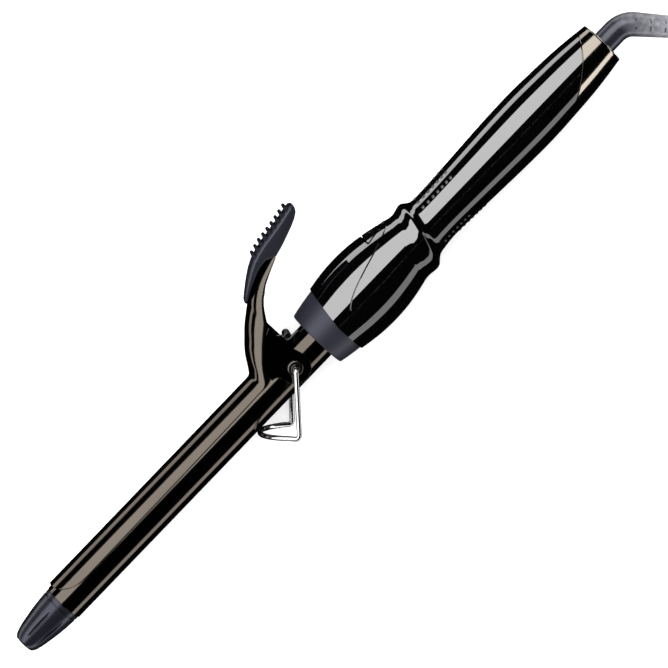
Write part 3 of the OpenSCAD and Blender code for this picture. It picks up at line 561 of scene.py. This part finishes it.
def plate(name, outline, low, high):
    """A flat plate from its outline in (along, lever) between two heights."""
    chosen()
    bpy.ops.mesh.primitive_circle_add(vertices=len(outline), radius=mm, fill_type="NGON")
    piece = bpy.context.object
    piece.name = piece.data.name = name
    for vertex, place in zip(piece.data.vertices, outline):
        vertex.co = at(place[0], place[1], low)
    bpy.ops.object.mode_set(mode="EDIT")
    bpy.ops.mesh.extrude_region_move(
        TRANSFORM_OT_translate={"value": (0, 0, (high - low) * mm)})
    closed_up()
    return piece


ear_round = [(pivot_x + 7.2 * cos(radians(a)), 7.2 * sin(radians(a)))
    for a in range(188, 353, 8)]
ear_line = [(neck_x0 + 5.2, 4), (pivot_x - 9.4, 3.4), (pivot_x - 7.6, 1.6)] + ear_round + [
    (pivot_x + 7.1, 1.5), (pivot_x + 6.4, 4.6), (pivot_x + 5.2, 8.6), (pivot_x + 4.9, 12),
    (pivot_x + 4.85, 21.4), (neck_x0 + 16, 18.6), (neck_x0 + 13.4, 16.3),
    (neck_x0 + 10.7, 13.8), (neck_x0 + 8, 11.1), (neck_x0 + 5.2, 7.6)]


def joined(*pieces):
    """Joins the pieces into the first of them."""
    chosen(*pieces)
    bpy.ops.object.join()
    return pieces[0]


ears = []
for side in (-1, 1):
    ear = plate("clamp_ear", ear_line, side * (clamp_in - 0.17), side * (clamp_out - 0.2))
    carved(ear, rod(9, 12, 2.25, at(pivot_x), (0, 0, side)))
    rounded(ear, 0.15)
    ears.append(ear)
joined(clamp, *ears)
fitted(clamp, "clamp_arm", metal("clamp_metal", (0.079, 0.068, 0.057), 0.1), "clamp")

# ---- Thumb rest ----
# A moulded sleeve that is pushed over the clamp's tongue. It is satin blue-grey, and
# nine ribs stand across it for the thumb.
rest_keys = [(5.3, 34.3, 35.6, 1.8), (6.1, 34.7, 36.6, 3.4), (8, 35.9, 37.9, 4.8),
    (10.5, 37.4, 39.7, 5.9), (13.5, 39, 41.8, 6.6), (17.5, 40.6, 44.4, 7),
    (21.5, 41.9, 46.3, 7), (25.5, 42.3, 47.5, 7), (30, 40.3, 48.5, 7), (34.5, 41.4, 49, 7),
    (39.5, 43, 49.7, 7), (44.5, 44.7, 50.6, 7), (48, 46.2, 51.3, 6.7),
    (50.2, 47.5, 51.5, 6.1), (51.1, 48.6, 51, 5.3)]
rest_rows = []
for before, after in zip(rest_keys, rest_keys[1:] + [rest_keys[-1]]):
    for t in (0, 0.25, 0.5, 0.75):
        dx, low, high, half_w = (a + (b - a) * t for a, b in zip(before, after))
        corner = min(1.6, (high - low) * 0.42)
        section = []
        for cx, cz, start in ((half_w - corner, high - corner, 90),
                (-half_w + corner, high - corner, 180), (-half_w + corner, low + corner, 270),
                (half_w - corner, low + corner, 0)):
            section += [(cx + corner * cos(radians(a)), cz + corner * sin(radians(a)))
                for a in range(start - 90, start + 1, 15)]
        rest_rows.append([(pivot_x + dx, z, -y) for y, z in section + section[:1]])
rest_rows = rest_rows[:-3]
rest_rows.insert(0, [(pivot_x + 5.25, 34.95, p[2] * 0.2) for p in rest_rows[0]])
rest_rows.append([(pivot_x + 51.4, 49.8 + (p[1] - 49.8) * 0.5, p[2] * 0.9)
    for p in rest_rows[-1]])
thumb_rest = lofted("thumb_rest_sleeve", rest_rows)


def capped(piece, angle=32):
    """Closes the two open ends of a piece."""
    chosen(piece)
    bpy.ops.object.mode_set(mode="EDIT")
    bpy.ops.mesh.select_all(action="SELECT")
    bpy.ops.mesh.region_to_loop()
    bpy.ops.mesh.fill_holes(sides=200)
    closed_up(angle)


capped(thumb_rest)


def between(line, x):
    """Height of a line of (x, height) at x."""
    for before, after in zip(line, line[1:]):
        if before[0] <= x <= after[0]:
            return before[1] + (after[1] - before[1]) * (x - before[0]) / (
                after[0] - before[0])
    return line[0][1] if x < line[0][0] else line[-1][1]


rib_x0, rib_pitch, rib_h, rib_r = 23.3, 3.1, 1.7, 0.85
for k in range(9):
    along = rib_x0 + k * rib_pitch
    top = between([(key[0], key[2]) for key in rest_keys], along)
    outline = [(-rib_r * 0.75, -1.2)] + [(-rib_r * cos(radians(a)),
        rib_h - rib_r + rib_r * sin(radians(a))) for a in range(0, 181, 20)] + [
        (rib_r * 0.75, -1.2)]
    rib = plate("rib", [(pivot_x + along + p[0], top + p[1]) for p in outline], -6, 6)
    carved(thumb_rest, rib, "UNION")
smoothed(thumb_rest, 38)
fitted(thumb_rest, "clamp_arm", moulded("rest_plastic", (0.0105, 0.011, 0.016), 0.28,
    depth=0.015, glint=(0.78, 0.8, 1)), "thumb_rest")

# ---- Pivot rivets ----
# Two hollow steel rivets, one through each side of the barrel, carry the clamp's ears.
# Their bores hold the ends of the stand.
rivet_outline = [(7.25, 1.27), (7.25, 2.8), (7.85, 2.8), (7.85, 2.2), (10.9, 2.2),
    (10.9, 3.3), (11, 3.5), (11.15, 3.5), (11.35, 3.3), (11.47, 2.9), (11.5, 2.4),
    (11.45, 1.9), (11.25, 1.5), (11, 1.27), (7.25, 1.27)]
rivets = joined(*(turned("pivot_rivet", rivet_outline, 64, at(pivot_x), (0, 0, side),
    (1, 0, 0)) for side in (-1, 1)))
fitted(rivets, "iron", metal("rivet_metal", (0.09, 0.084, 0.078), 0.25), "pivot_rivets")

# ---- Wire stand ----
# One length of 2.4 mm bright wire, bent to a pair of legs with a round apex. Its two
# ends hook into the rivets, and it folds against the barrel.
wire_r = 1.2


def bent(places, radius, steps=6):
    """A line of places with each inner corner rounded."""
    line = [Vector(places[0])]
    for before, corner, after in zip(places, places[1:], places[2:]):
        before, corner, after = Vector(before), Vector(corner), Vector(after)
        r = min(radius, (before - corner).length * 0.45, (after - corner).length * 0.45)
        a = corner + (before - corner).normalized() * r
        b = corner + (after - corner).normalized() * r
        line += [(1 - k / steps) ** 2 * a + 2 * k / steps * (1 - k / steps) * corner
            + (k / steps) ** 2 * b for k in range(steps + 1)]
    return line + [Vector(places[-1])]


def tube(name, places, radius, rounding=3, closed=False):
    """A round bar of a radius in millimetres along a line of places, as a closed mesh."""
    bar = round_line(name, places, radius, rounding=rounding)
    bar.data.splines[0].use_cyclic_u = closed
    chosen(bar)
    bpy.ops.object.convert(target="MESH")
    closed_up(50)
    return bpy.context.object


stand_half_w, stand_depth, stand_run = 17.4, 22, 21.4
rise = stand_depth - barrel_r - wire_r - 0.3
reach = rise * stand_depth / stand_run
foot_len = hypot(reach, rise)
# The foot, from its corner to its round end, bowed outwards
foot_handles = ((0.5, stand_half_w - 0.2), (0.57 * foot_len, 0.79 * stand_half_w),
    (foot_len, 0.59 * stand_half_w), (foot_len, 0))
foot = []
for k in range(18):
    along, side = on_curve(0.15 + 0.05 * k, foot_handles)
    foot.append((pivot_x - stand_run - reach * along / foot_len,
        rise * along / foot_len - stand_depth, side))
half = bent([(pivot_x, 0, 9.1), (pivot_x, 0, 13.15), (pivot_x - stand_run,
    -stand_depth - 0.4, stand_half_w), foot[0]], 2.6) + [Vector(p) for p in foot[1:]]
stand = tube("wire_stand", [at(*p) for p in half] + [at(p.x, p.y, -p.z)
    for p in half[-2::-1]], wire_r, 5)
fitted(stand, "stand", metal("stand_wire", (0.62, 0.62, 0.64), 0.16), "stand")

# ---- Clamp spring ----
# Spring wire of 0.8 mm, wound ten times across the neck. One end lies on the collar
# and the other pushes the clamp's arch.
coil_r, spring_r, spring_half_w = 1.45, 0.4, 5
spring_x, spring_z = pivot_x + 7.6, 9.5 + coil_r + spring_r + 0.1
spring_line = [(spring_x + 5.2 - 0.8 * k, spring_z - coil_r, spring_half_w)
    for k in range(6)]
spring_line += [(spring_x - coil_r * sin(radians(15 * i)),
    spring_z - coil_r * cos(radians(15 * i)),
    spring_half_w - 2 * spring_half_w * i / 240) for i in range(241)]
spring_line += [(spring_x - 2.4 * k, spring_z - coil_r + 2.05 * k, -spring_half_w)
    for k in range(1, 7)]
clamp_spring = tube("clamp_spring_wire", [at(*p) for p in spring_line], spring_r)
spring_wire = metal("spring_wire", (0.13, 0.13, 0.13), 0.3)
clamp_spring.data.materials.append(spring_wire)
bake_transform(clamp_spring)
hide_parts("clamp_spring")

# ---- Handle shells ----
# Two glossy black shells that meet along the iron's middle: a bulge that fits the palm,
# a leaned ring ridge, and a slim grip. Screws from below hold them together.
bulge_keys = [(197.9, 16.9), (207, 18.45), (213, 19.1), (220, 19.35), (228, 18.95),
    (236, 17.75), (244, 15.95), (252.5, 13.7), (258, 12.75), (264, 12.2), (272, 12.26),
    (290, 13.05), (310, 13.9), (326, 14.18), (340, 13.68), (352, 13.02), (362, 12.05),
    (370.8, 10.9)]
# Rise of the ridge at distances from its crest
ridge_keys = [(-9.5, 0), (-8.2, 0), (-6.5, 0.2), (-5, 0.56), (-3.1, 1.38), (-1.25, 2.12),
    (0, 2.3), (1, 2.12), (2.25, 1.24), (4, 0.24), (5.4, 0), (6.5, 0)]
ridge_x = 254
ridge_lean = tan(radians(15.6))
shell_wall = 2.1
hull_line = smooth_line(bulge_keys, 0.8, 3)
ridge_line = smooth_line(ridge_keys, 0.15, 3)


def hull_r(x, angle):
    """Radius of the handle at x and an angle from the lever's side."""
    plain = between(hull_line, x)
    ahead = x - ridge_x - ridge_lean * plain * cos(angle)
    return plain + (between(ridge_line, ahead) if -9 < ahead < 6 else 0)


def on_hull(x, angle):
    r = hull_r(x, angle)
    return at(x, r * cos(angle), r * sin(angle))


grip_end = 370.8
hull_places = ([197.95 + 0.9 * k for k in range(48)] + [241.2 + 0.4 * k for k in range(56)]
    + [263.8 + 1.1 * k for k in range(98)])
hull_places = [x for x in hull_places if x < grip_end - 0.05] + [grip_end]


def smooth_hull(piece):
    """Gives the faces that lie on the handle's outside the handle's own smooth normals."""
    smoothed(piece, 30)
    mesh = piece.data
    known = {}

    def normal(index):
        if index not in known:
            off = (mesh.vertices[index].co - at(0)) / mm
            x, angle = off.x, atan2(off.z, off.y)
            r = hull_r(x, angle)
            known[index] = None
            if abs(r - hypot(off.y, off.z)) < 0.025:
                slope = (hull_r(x + 0.15, angle) - hull_r(x - 0.15, angle)) / 0.3
                turn = (hull_r(x, angle + 0.01) - hull_r(x, angle - 0.01)) / 0.02 / r
                out = Vector((0, cos(angle), sin(angle)))
                round_it = Vector((0, -sin(angle), cos(angle)))
                known[index] = (out - slope * Vector((1, 0, 0)) - turn * round_it).normalized()
        return known[index]

    normals = []
    for face in mesh.polygons:
        found = [normal(i) for i in face.vertices]
        outside = all(found) and face.normal.dot(found[0]) > 0.85
        normals += [tuple(n) if outside else (0, 0, 0) for n in found]
    mesh.normals_split_custom_set(normals)


def cut_seam(radius, places, *pieces, closed=False):
    """Cuts the same groove into each of the pieces that meet at a seam."""
    bar = tube("seam_groove", places, radius, closed=closed)
    for piece in pieces:
        carved(piece, copy_of(bar, "seam_groove_copy"))
    bpy.data.objects.remove(bar)


def slab(low, high, lean=0, about=None):
    """A plain block to cut with, in (along, lever, up), leaned about the up direction."""
    chosen()
    size = [(b - a) * mm for a, b in zip(low, high)]
    middle = [(a + b) / 2 for a, b in zip(low, high)]
    bpy.ops.mesh.primitive_cube_add(size=1, location=at(*middle))
    piece = bpy.context.object
    bpy.ops.object.mode_set(mode="EDIT")
    bpy.ops.transform.resize(value=size)
    if lean:
        bpy.ops.transform.rotate(value=lean, orient_axis="Z", center_override=at(*about))
    bpy.ops.object.mode_set(mode="OBJECT")
    return piece


def copy_of(piece, name):
    """A copy with its own mesh."""
    made = piece.copy()
    made.data = piece.data.copy()
    made.name = made.data.name = name
    bpy.context.scene.collection.objects.link(made)
    return made


seam_x, seam_z, seam_r = 316.5, 47.5, 62


def seam_post():
    """The round post that ends the black shells in an arc."""
    return rod(-30, 30, seam_r, at(seam_x, seam_z), (0, 0, 1), 180)


def upright(outline, low, high):
    """A post along the lever's direction, from its outline in (along, up)."""
    post = plate("post", outline, -1, 1)
    for vertex in post.data.vertices:
        off = (vertex.co - at(0)) / mm
        vertex.co = at(off.x, low if off.z < 0 else high, off.y)
    chosen(post)
    closed_up()
    return post


cover_x, cover_half_len, cover_half_w = 207.8, 41, 18.7


def oval_post(grow=0):
    """The upright oval post whose outline is the control cover's."""
    turns = [2 * pi * k / 120 for k in range(120)]
    return upright([(cover_x + (cover_half_len + grow) * cos(t),
        (cover_half_w + grow) * sin(t)) for t in turns], 2, 30)


# The whole handle is one tube with a wall, from the collar to the end. It is turned with
# radii of 10 outside and 8 inside, which are then moved to the true ones
wall_end = grip_end - 3
inside = [x for x in hull_places[::2] if 200 < x < wall_end] + [wall_end]
black = turned("handle_tube", [(x, 10) for x in hull_places] + [(grip_end, 6),
    (wall_end, 6)] + [(x, 8) for x in reversed(inside)] + [(hull_places[0], 8),
    (hull_places[0], 10)])
for vertex in black.data.vertices:
    off = (vertex.co - at(0)) / mm
    held = hypot(off.y, off.z)
    if held > 7:
        angle = atan2(off.z, off.y)
        r = hull_r(off.x, angle) - (shell_wall if held < 9 else 0)
        vertex.co = at(off.x, r * cos(angle), r * sin(angle))
end_piece = copy_of(black, "end_cap_ring")

# The black shells end in front of the round post's arc, and start behind the collar
collar_seam, collar_lean = 200, radians(9)
keep = slab((150, -40, -40), (seam_x, 40, 40))
carved(keep, seam_post(), "UNION")
carved(black, keep, "INTERSECT")
carved(black, slab((150, -40, -40), (collar_seam, 0.4, 40)))
carved(black, slab((150, 0, -40), (collar_seam, 45, 40), collar_lean, (collar_seam, 0, 0)))

lower_shell = copy_of(black, "lower_handle_shell")
carved(lower_shell, slab((150, -0.04, -40), (400, 60, 40)))
upper_shell = copy_of(black, "upper_handle_shell")
carved(upper_shell, slab((150, -60, -40), (400, 0.04, 40)))
control_cover = copy_of(upper_shell, "control_cover_panel")
carved(upper_shell, oval_post(0.05))
carved(control_cover, oval_post(), "INTERSECT")
bpy.data.objects.remove(black)


def end_seam(angle):
    """Place along the iron where the shells end at this angle."""
    x = 340
    for _ in range(12):
        reach = hull_r(x, angle) * cos(angle) - seam_z
        x = seam_x + sqrt(seam_r ** 2 - reach ** 2)
    return x


def over_hull(x, up, angle, rounds):
    """The handle's surface at x and a height from its middle plane, found from a first
    angle in some rounds."""
    for _ in range(rounds):
        angle = asin(up / hull_r(x, angle))
    return on_hull(x, angle)


oval_seam = []
for k in range(-200, 201):
    turn = radians(k * 0.5)
    x, up = cover_x + cover_half_len * cos(turn), cover_half_w * sin(turn)
    if x > 199 and hull_r(x, radians(90)) ** 2 - up ** 2 > 0.6:
        oval_seam.append(over_hull(x, up, radians(60), 5))


def gloss_black(name, colour, roughness=0.022, ior=1.8):
    """Polished moulded plastic: nearly black, with a faint ripple from the mould and
    fine wipe marks that soften the reflections here and there."""
    made, tree, shader = finish(name, colour, roughness, ior=ior, level=1)
    wipes = noise(tree, 240, 5)
    shade(tree, shader, colour, 0.8, 1.3, wipes, noise(tree, 60, 1), 0.008)
    feed(tree, shader, {"Roughness": add_node(tree, "MapRange", {"Value": wipes,
        "From Min": 0.35, "From Max": 0.75, "To Min": roughness,
        "To Max": roughness * 1.6}).outputs["Result"]})
    return made


handle_gloss = gloss_black("handle_gloss", (0.0004, 0.0004, 0.0005))
for screw_x in (262, 308):
    carved(lower_shell, rod(5, 20, 2.4, at(screw_x), (0, -1, 0), 32))
cut_seam(0.34, oval_seam, upper_shell, control_cover)
for side in (90, -90):
    cut_seam(0.06, [on_hull(x, radians(side)) for x in hull_places],
        upper_shell, lower_shell)
cut_seam(0.3, [on_hull(end_seam(radians(a)), radians(a)) for a in range(0, 360, 4)],
    upper_shell, lower_shell, end_piece, closed=True)
for piece, node in ((upper_shell, "upper_shell"), (lower_shell, "lower_shell")):
    fitted(piece, "iron", handle_gloss, node)
    smooth_hull(piece)

# ---- Control cover ----
# A long oval panel let into the upper shell, in the same gloss black. It has an opening
# for the key and a small round hole for the lamp.
key_x0, key_x1 = 235.9, 244
key_front, key_back = 9.5, 4.8
key_gap, lens_x = 0.55, 246.6


def key_outline(grow):
    return [(key_x0 - grow, -key_front - grow), (key_x1 + grow, -key_back - grow),
        (key_x1 + grow, key_back + grow), (key_x0 - grow, key_front + grow)]


def key_post(grow=0):
    return rounded(upright(key_outline(grow), 8, 30), 0.7, 4, 60)


power_key = copy_of(control_cover, "power_key_cap")
carved(power_key, key_post(), "INTERSECT")
carved(control_cover, key_post(key_gap))
carved(control_cover, rod(5, 25, 1.25, at(lens_x), (0, 1, 0)))
key_seam = []
corners = key_outline(0.27)[::-1]
for (xa, ya), (xb, yb) in zip(corners, corners[1:] + corners[:1]):
    for k in range(2, 27):
        x, up = xa + (xb - xa) * k / 28, ya + (yb - ya) * k / 28
        key_seam.append(over_hull(x, up, 0.5, 6))
cut_seam(0.42, key_seam, control_cover, power_key, closed=True)
fitted(control_cover, "iron", gloss_black("cover_gloss", (0.0004, 0.0004, 0.0005)),
    "control_cover")
smooth_hull(control_cover)

# ---- Power key ----
# A wedge-shaped key that dips when pressed, in the same black. A stem under it reaches
# the switch on the board.
stem_foot = (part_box("key_switch")[1].y - axis_y) / mm + 0.9
carved(power_key, rod(stem_foot, 15.6, 2, at(240), (0, 1, 0)), "UNION")
sign_x, sign_r = 239.6, 2.1
sign = []
for k in range(31):
    turn = radians(-60 + 10 * k)
    sign.append(over_hull(sign_x - sign_r * cos(turn), sign_r * sin(turn), 0, 1))
cut_seam(0.22, sign, power_key)
fitted(power_key, "key", gloss_black("key_gloss", (0.0012, 0.0012, 0.0013), 0.04), "power_key")
smooth_hull(power_key)

# ---- Indicator lens ----
# A small domed light pipe of clear red plastic, pressed into the cover behind the key.
# It shows the light of the lamp that stands on the board.
lens = turned("indicator_lens_dome", [(9.6, 0), (9.6, 1.2), (15.1, 1.2), (15.35, 1.05),
    (15.48, 0.7), (15.52, 0)], 48, at(lens_x), (0, 1, 0), (1, 0, 0))
lens_red = moulded("lens_red", (0.025, 0.0015, 0.001), 0.1, depth=0.004, variation=0.03,
    light=1.1)
lens_red.node_tree.nodes["Principled BSDF"].inputs["Transmission Weight"].default_value = 0.4
fitted(lens, "iron", lens_red, "indicator_lens")

# ---- Grip dots ----
# Low domes moulded on the grip in rows of seven, so that it doesn't slip. They stand
# behind the ridge, five rows above the parting line and four below it.
dots = []
for row_angle, first, pitch, last_pitch in ((44, 264.3, 3.3, 2.5), (65, 264.3, 3.3, 2.5),
        (90, 264.3, 3.3, 2.5), (-51, 260.4, 2.7, 2.3), (-70, 268.5, 2.7, 2.3)):
    for angle in {row_angle, 180 - row_angle}:
        for k in range(7):
            x = first + pitch * k - (pitch - last_pitch) * k * (k - 1) / 12
            turn = radians(90 - angle)
            away = Vector((0, cos(turn), sin(turn)))
            r = hull_r(x, turn)
            dots.append(turned("grip_dot", [(-0.1, 0), (-0.1, 0.86), (0.03, 0.86),
                (0.17, 0.78), (0.3, 0.56), (0.37, 0.29), (0.4, 0)], 20,
                at(x) + away * r * mm, away, (1, 0, 0)))
grip_dots = joined(*dots)
fitted(grip_dots, "iron", gloss_black("dot_gloss", (0.0012, 0.0012, 0.0013), 0.09, ior=1.6),
    "grip_dots", slot="handle_gloss")

# ---- Collar ----
# A moulded ring that closes the front of the handle round the barrel. It is the same
# satin blue-grey as the tip, and keeps fingers off the hot tube.
collar_front, bore_r, seat_r = 188.9, 9.8, 13.4
collar = turned("front_collar", [(collar_front, bore_r), (collar_front, 14.1),
    (188.98, 14.32), (189.15, 14.5)] + smooth_line([(189.4, 14.65), (193.9, 15.55),
    (200, 16.5), (204.2, 16.95)]) + [(204.2, seat_r), (191.4, seat_r), (191.4, bore_r),
    (collar_front, bore_r)], 128)
carved(collar, slab((collar_seam, -40, -40), (230, 0.3, 40)))
carved(collar, slab((collar_seam, 0, -40), (230, 45, 40), collar_lean, (collar_seam, 0, 0)))
rounded(collar, 0.12)
fitted(collar, "iron", moulded("collar_plastic", (0.012, 0.0125, 0.019), 0.46, depth=0.012,
    glint=(0.8, 0.82, 1)), "collar")

# ---- End cap ----
# The metal-coated cap behind the arc where the black shells end. It shares the grip's
# outline, and a bright ring in its rim holds the strain relief.
beyond = slab((seam_x, -60, -60), (400, 60, 60))
carved(beyond, seam_post())
carved(end_piece, beyond, "INTERSECT")
rim = turned("rim", [(366, 7), (366, 10.3), (370.3, 10.97), (370.8, 10.93), (371.3, 10.85),
    (371.62, 10.7), (371.8, 10.45), (371.8, 7), (366, 7)], 96)
carved(end_piece, rim, "UNION")
fitted(end_piece, "iron", metal("end_metal", (0.21, 0.187, 0.158), 0.1), "end_cap")
smooth_hull(end_piece)
end_ring = turned("relief_ring", [(368.8, 6.4), (368.8, 6.95), (372.1, 6.95), (372.3, 6.8),
    (372.3, 6.5), (372.1, 6.4), (368.8, 6.4)], 96)
fitted(end_ring, "iron", metal("ring_metal", (0.5, 0.48, 0.46), 0.38), "end_ring")

# ---- Strain relief ----
# A tapered rubber sleeve moulded round the lead. It leaves the handle straight, turns
# down past the thumb, and has rows of slots that let it bend.
relief_r, bend_x, bend_r, tail_len = 5.6, 379, 11, 27
relief_line = [(366.5 + 12.5 * k / 8, -0.7, relief_r) for k in range(9)]
for k in range(1, 15):
    turn = radians(relief_bend * k / 14)
    relief_line.append((bend_x + bend_r * sin(turn), -0.7 - bend_r * (1 - cos(turn)),
        relief_r - 0.1 * k / 14))
down = radians(relief_bend)
corner_x, corner_y, _ = relief_line[-1]
relief_line += [(corner_x + tail_len * k / 36 * cos(down),
    corner_y - tail_len * k / 36 * sin(down), 5.5 - 0.9 * k / 36 - (0.35 if k == 36 else 0))
    for k in range(1, 37)]
relief_rows = []
for (x, y, size), behind, ahead in zip(relief_line, relief_line[:1] + relief_line,
        relief_line[1:] + relief_line[-1:]):
    side = Vector((behind[1] - ahead[1], ahead[0] - behind[0])).normalized()
    turns = [2 * pi * j / 48 for j in range(49)]
    relief_rows.append([(x + side.x * size * cos(a), y + side.y * size * cos(a),
        size * sin(a)) for a in turns])
strain_relief = lofted("strain_relief_sleeve", relief_rows)
capped(strain_relief, 50)
slot_pitch, slot_w, slot_deep = 6.7, 0.9, 1.3
for k in range(4):
    along_x = corner_x + slot_pitch * k * cos(down)
    along_y = corner_y - slot_pitch * k * sin(down)
    skin_r = 5.5 - 0.9 * slot_pitch * k / tail_len
    for offset in (-1.2, 2.5):
        for side in (-1, 1):
            length = 1.1 if k == 0 else 2.3
            x, y = along_x + offset * sin(down), along_y + offset * cos(down)
            low, high = sorted((side * (skin_r - slot_deep), side * (skin_r + 2)))
            slot = slab((x - slot_w / 2, y - length / 2, low),
                (x + slot_w / 2, y + length / 2, high), down, (x, y, 0))
            carved(strain_relief, rounded(slot, 0.3, 3, 60))
relief_rubber = moulded("relief_rubber", (0.01, 0.0105, 0.0165), 0.3, depth=0.03,
    grain_scale=1800, light=1.5, level=0.8, glint=(0.86, 0.86, 1))
# Painted light: past its bend the rubber's colour turns pale in patches, standing in for the
# light that the turned-down part catches
tree = relief_rubber.node_tree
shader = tree.nodes["Principled BSDF"]
place = add_node(tree, "TexCoord").outputs["Object"]
parts = add_node(tree, "SeparateXYZ", {"Vector": place})
painted_light_ramp = add_node(tree, "MapRange", {"Value": parts.outputs["X"], "From Min": at(381).x,
    "From Max": at(401).x})
painted_light_patches = add_node(tree, "Math", {0: painted_light_ramp.outputs["Result"], 1: noise(tree, 420, 4)},
    operation="MULTIPLY")
# Painted light: mixes the rubber's colour towards pale grey past the bend
painted_light_tint = add_node(tree, "Mix", {"Factor": painted_light_patches.outputs[0],
    "A": shader.inputs["Base Color"].links[0].from_socket, "B": (0.5, 0.5, 0.53, 1)},
    data_type="RGBA")
feed(tree, shader, {"Base Color": painted_light_tint.outputs["Result"]})
fitted(strain_relief, "iron", relief_rubber, "strain_relief")

# ---- Cord tie ----
# A plastic-coated wire clip that is pressed over the coil and keeps its turns together.
# Its two feet stand on the table, one on each side of the bundle.
tie_y = coil_centre.y + coil_mid_r
tie_line = [(-11.5, 0.05), (-11.5, 18.6), (-8.7, 21.25), (8.7, 21.25), (11.5, 18.6),
    (11.5, 0.05)]
tie_rows = [[(coil_centre.x + w, tie_y + p.x, p.y - axis_z / mm) for w in
    (-3, -1.5, 0, 1.5, 3)] for p in bent(tie_line, 2.5, 5)]
cord_tie = lofted("cord_tie_clip", tie_rows, 0.9)
rounded(cord_tie, 0.25, 3)
fitted(cord_tie, "iron", moulded("tie_plastic", (0.012, 0.012, 0.014), 0.35, depth=0.02),
    "cord_tie")

# ---- Plug ----
# A flat moulded two-pin plug with a slotted sleeve for the lead. Its two round pins are
# plated brass, and its sides have a hollow for the fingers.
plug_x, plug_y, plug_z = ((a - b) / mm for a, b in zip(plug_end, (nose_x, axis_y, axis_z)))
plug_relief = turned("plug_sleeve", [(0, 3.3), (0, 3.85), (0.2, 4), (3.6, 4.3), (3.8, 3.85),
    (4.8, 3.9), (5, 4.42), (7.2, 4.6), (7.4, 4.15), (8.4, 4.2), (8.6, 4.75), (10.8, 4.9),
    (11, 4.5), (12, 4.55), (12.2, 5.05), (14, 5.2), (14, 3.3), (0, 3.3)], 48, plug_end)
plug_plastic = moulded("plug_plastic", (0.03, 0.031, 0.036), 0.42, depth=0.03)
fitted(plug_relief, "iron", plug_plastic, "plug_relief")
half_plug = smooth_line([(0, 5.6), (2.5, 6.6), (6, 9.15), (12, 14.6), (19.25, 17.05),
    (26, 17.5), (31.5, 17.3), (34.2, 15.6), (35, 12.4)], 1.2)
plug_outline = [(plug_x + 14 + p.x, plug_y + p.y) for p in half_plug] + [
    (plug_x + 14 + p.x, plug_y - p.y) for p in reversed(half_plug)]
plug_body = plate("plug_block", plug_outline, plug_z - 6.85, plug_z + 6.85)
rounded(plug_body, 2.2, 6, 40)
for side in (-1, 1):
    dent = turned("finger_dent", [(-9, 0), (-8.5, 2.8), (-5, 6), (0, 7.5), (5, 6), (8.5, 2.8),
        (9, 0)], 40, at(plug_x + 32, plug_y, plug_z + side * 13.6), (1, 0, 0))
    carved(plug_body, dent)
smoothed(plug_body, 30)
fitted(plug_body, "iron", plug_plastic, "plug_body")
pins = [turned("plug_pin", [(48, 0), (48, 2), (66.2, 2), (67.2, 1.6), (67.8, 0.9), (68, 0)],
    32, plug_end + Vector((0, side * 9.3 * mm, 0))) for side in (-1, 1)]
joined(*pins)
fitted(pins[0], "iron", metal("pin_metal", (0.75, 0.7, 0.55), 0.2), "plug_pins")

# ---- Screws and inside parts ----
# What the shells hide keeps its own solids: the ceramic heating bar between aluminium
# spreaders, the film round them, the fuse and thermistor, the board with its switch,
# and the wires and clamp of the lead. Each has the finish of its own kind.
def speckled(name, colour, roughness, scale=300, depth=0.03):
    """A cast, woven or sintered surface: the colour varies in fine grains."""
    made, tree, shader = finish(name, colour, roughness)
    place = add_node(tree, "TexCoord").outputs["Object"]
    grains = add_node(tree, "TexVoronoi", {"Vector": place, "Scale": scale})
    grains = grains.outputs["Distance"]
    shade(tree, shader, colour, 0.78, 1.15, grains, grains, depth)
    return made


inside = {
    "tip_screw": metal("screw_steel", (0.5, 0.5, 0.5), 0.3),
    "heater_bar": speckled("heater_ceramic", (0.78, 0.75, 0.66), 0.7),
    "heat_spreaders": metal("spreader_metal", (0.7, 0.71, 0.72), 0.35),
    "heater_film": speckled("heater_film", (0.6, 0.27, 0.04), 0.2, 500, 0.005),
    "heater_leads": speckled("lead_fibre", (0.7, 0.68, 0.6), 0.85, 1500),
    "thermal_fuse": metal("fuse_metal", (0.68, 0.69, 0.7), 0.25),
    "thermistor": speckled("sensor_glass", (0.2, 0.06, 0.02), 0.15, 900, 0.005),
    "barrel_socket": speckled("socket_ceramic", (0.7, 0.66, 0.56), 0.75, 400),
    "circuit_board": speckled("board_green", (0.03, 0.15, 0.05), 0.35, 800, 0.01),
    "key_switch": speckled("part_black", (0.012, 0.012, 0.014), 0.45, 900, 0.01),
    "power_led": speckled("led_red", (0.55, 0.04, 0.03), 0.15, 900, 0.004),
    "film_capacitor": speckled("capacitor_case", (0.48, 0.24, 0.03), 0.4, 600, 0.01),
    "triac": speckled("triac_case", (0.015, 0.015, 0.017), 0.5, 900, 0.01),
    "board_screws": metal("board_screw_steel", (0.5, 0.5, 0.5), 0.3),
    "mains_wires": speckled("wire_pvc", (0.1, 0.16, 0.26), 0.45, 1200, 0.008),
    "lead_end": speckled("lead_end_sheath", (0.025, 0.026, 0.032), 0.5, 1200, 0.01),
    "cord_clamp": speckled("clamp_plastic", (0.02, 0.021, 0.025), 0.5, 900, 0.01),
    "clamp_screws": metal("clamp_screw_steel", (0.5, 0.5, 0.5), 0.3),
    "shell_screws": metal("shell_screw_steel", (0.05, 0.05, 0.055), 0.35),
}
for node, material in inside.items():
    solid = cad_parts[node]
    solid.data.materials.clear()
    solid.data.materials.append(material)
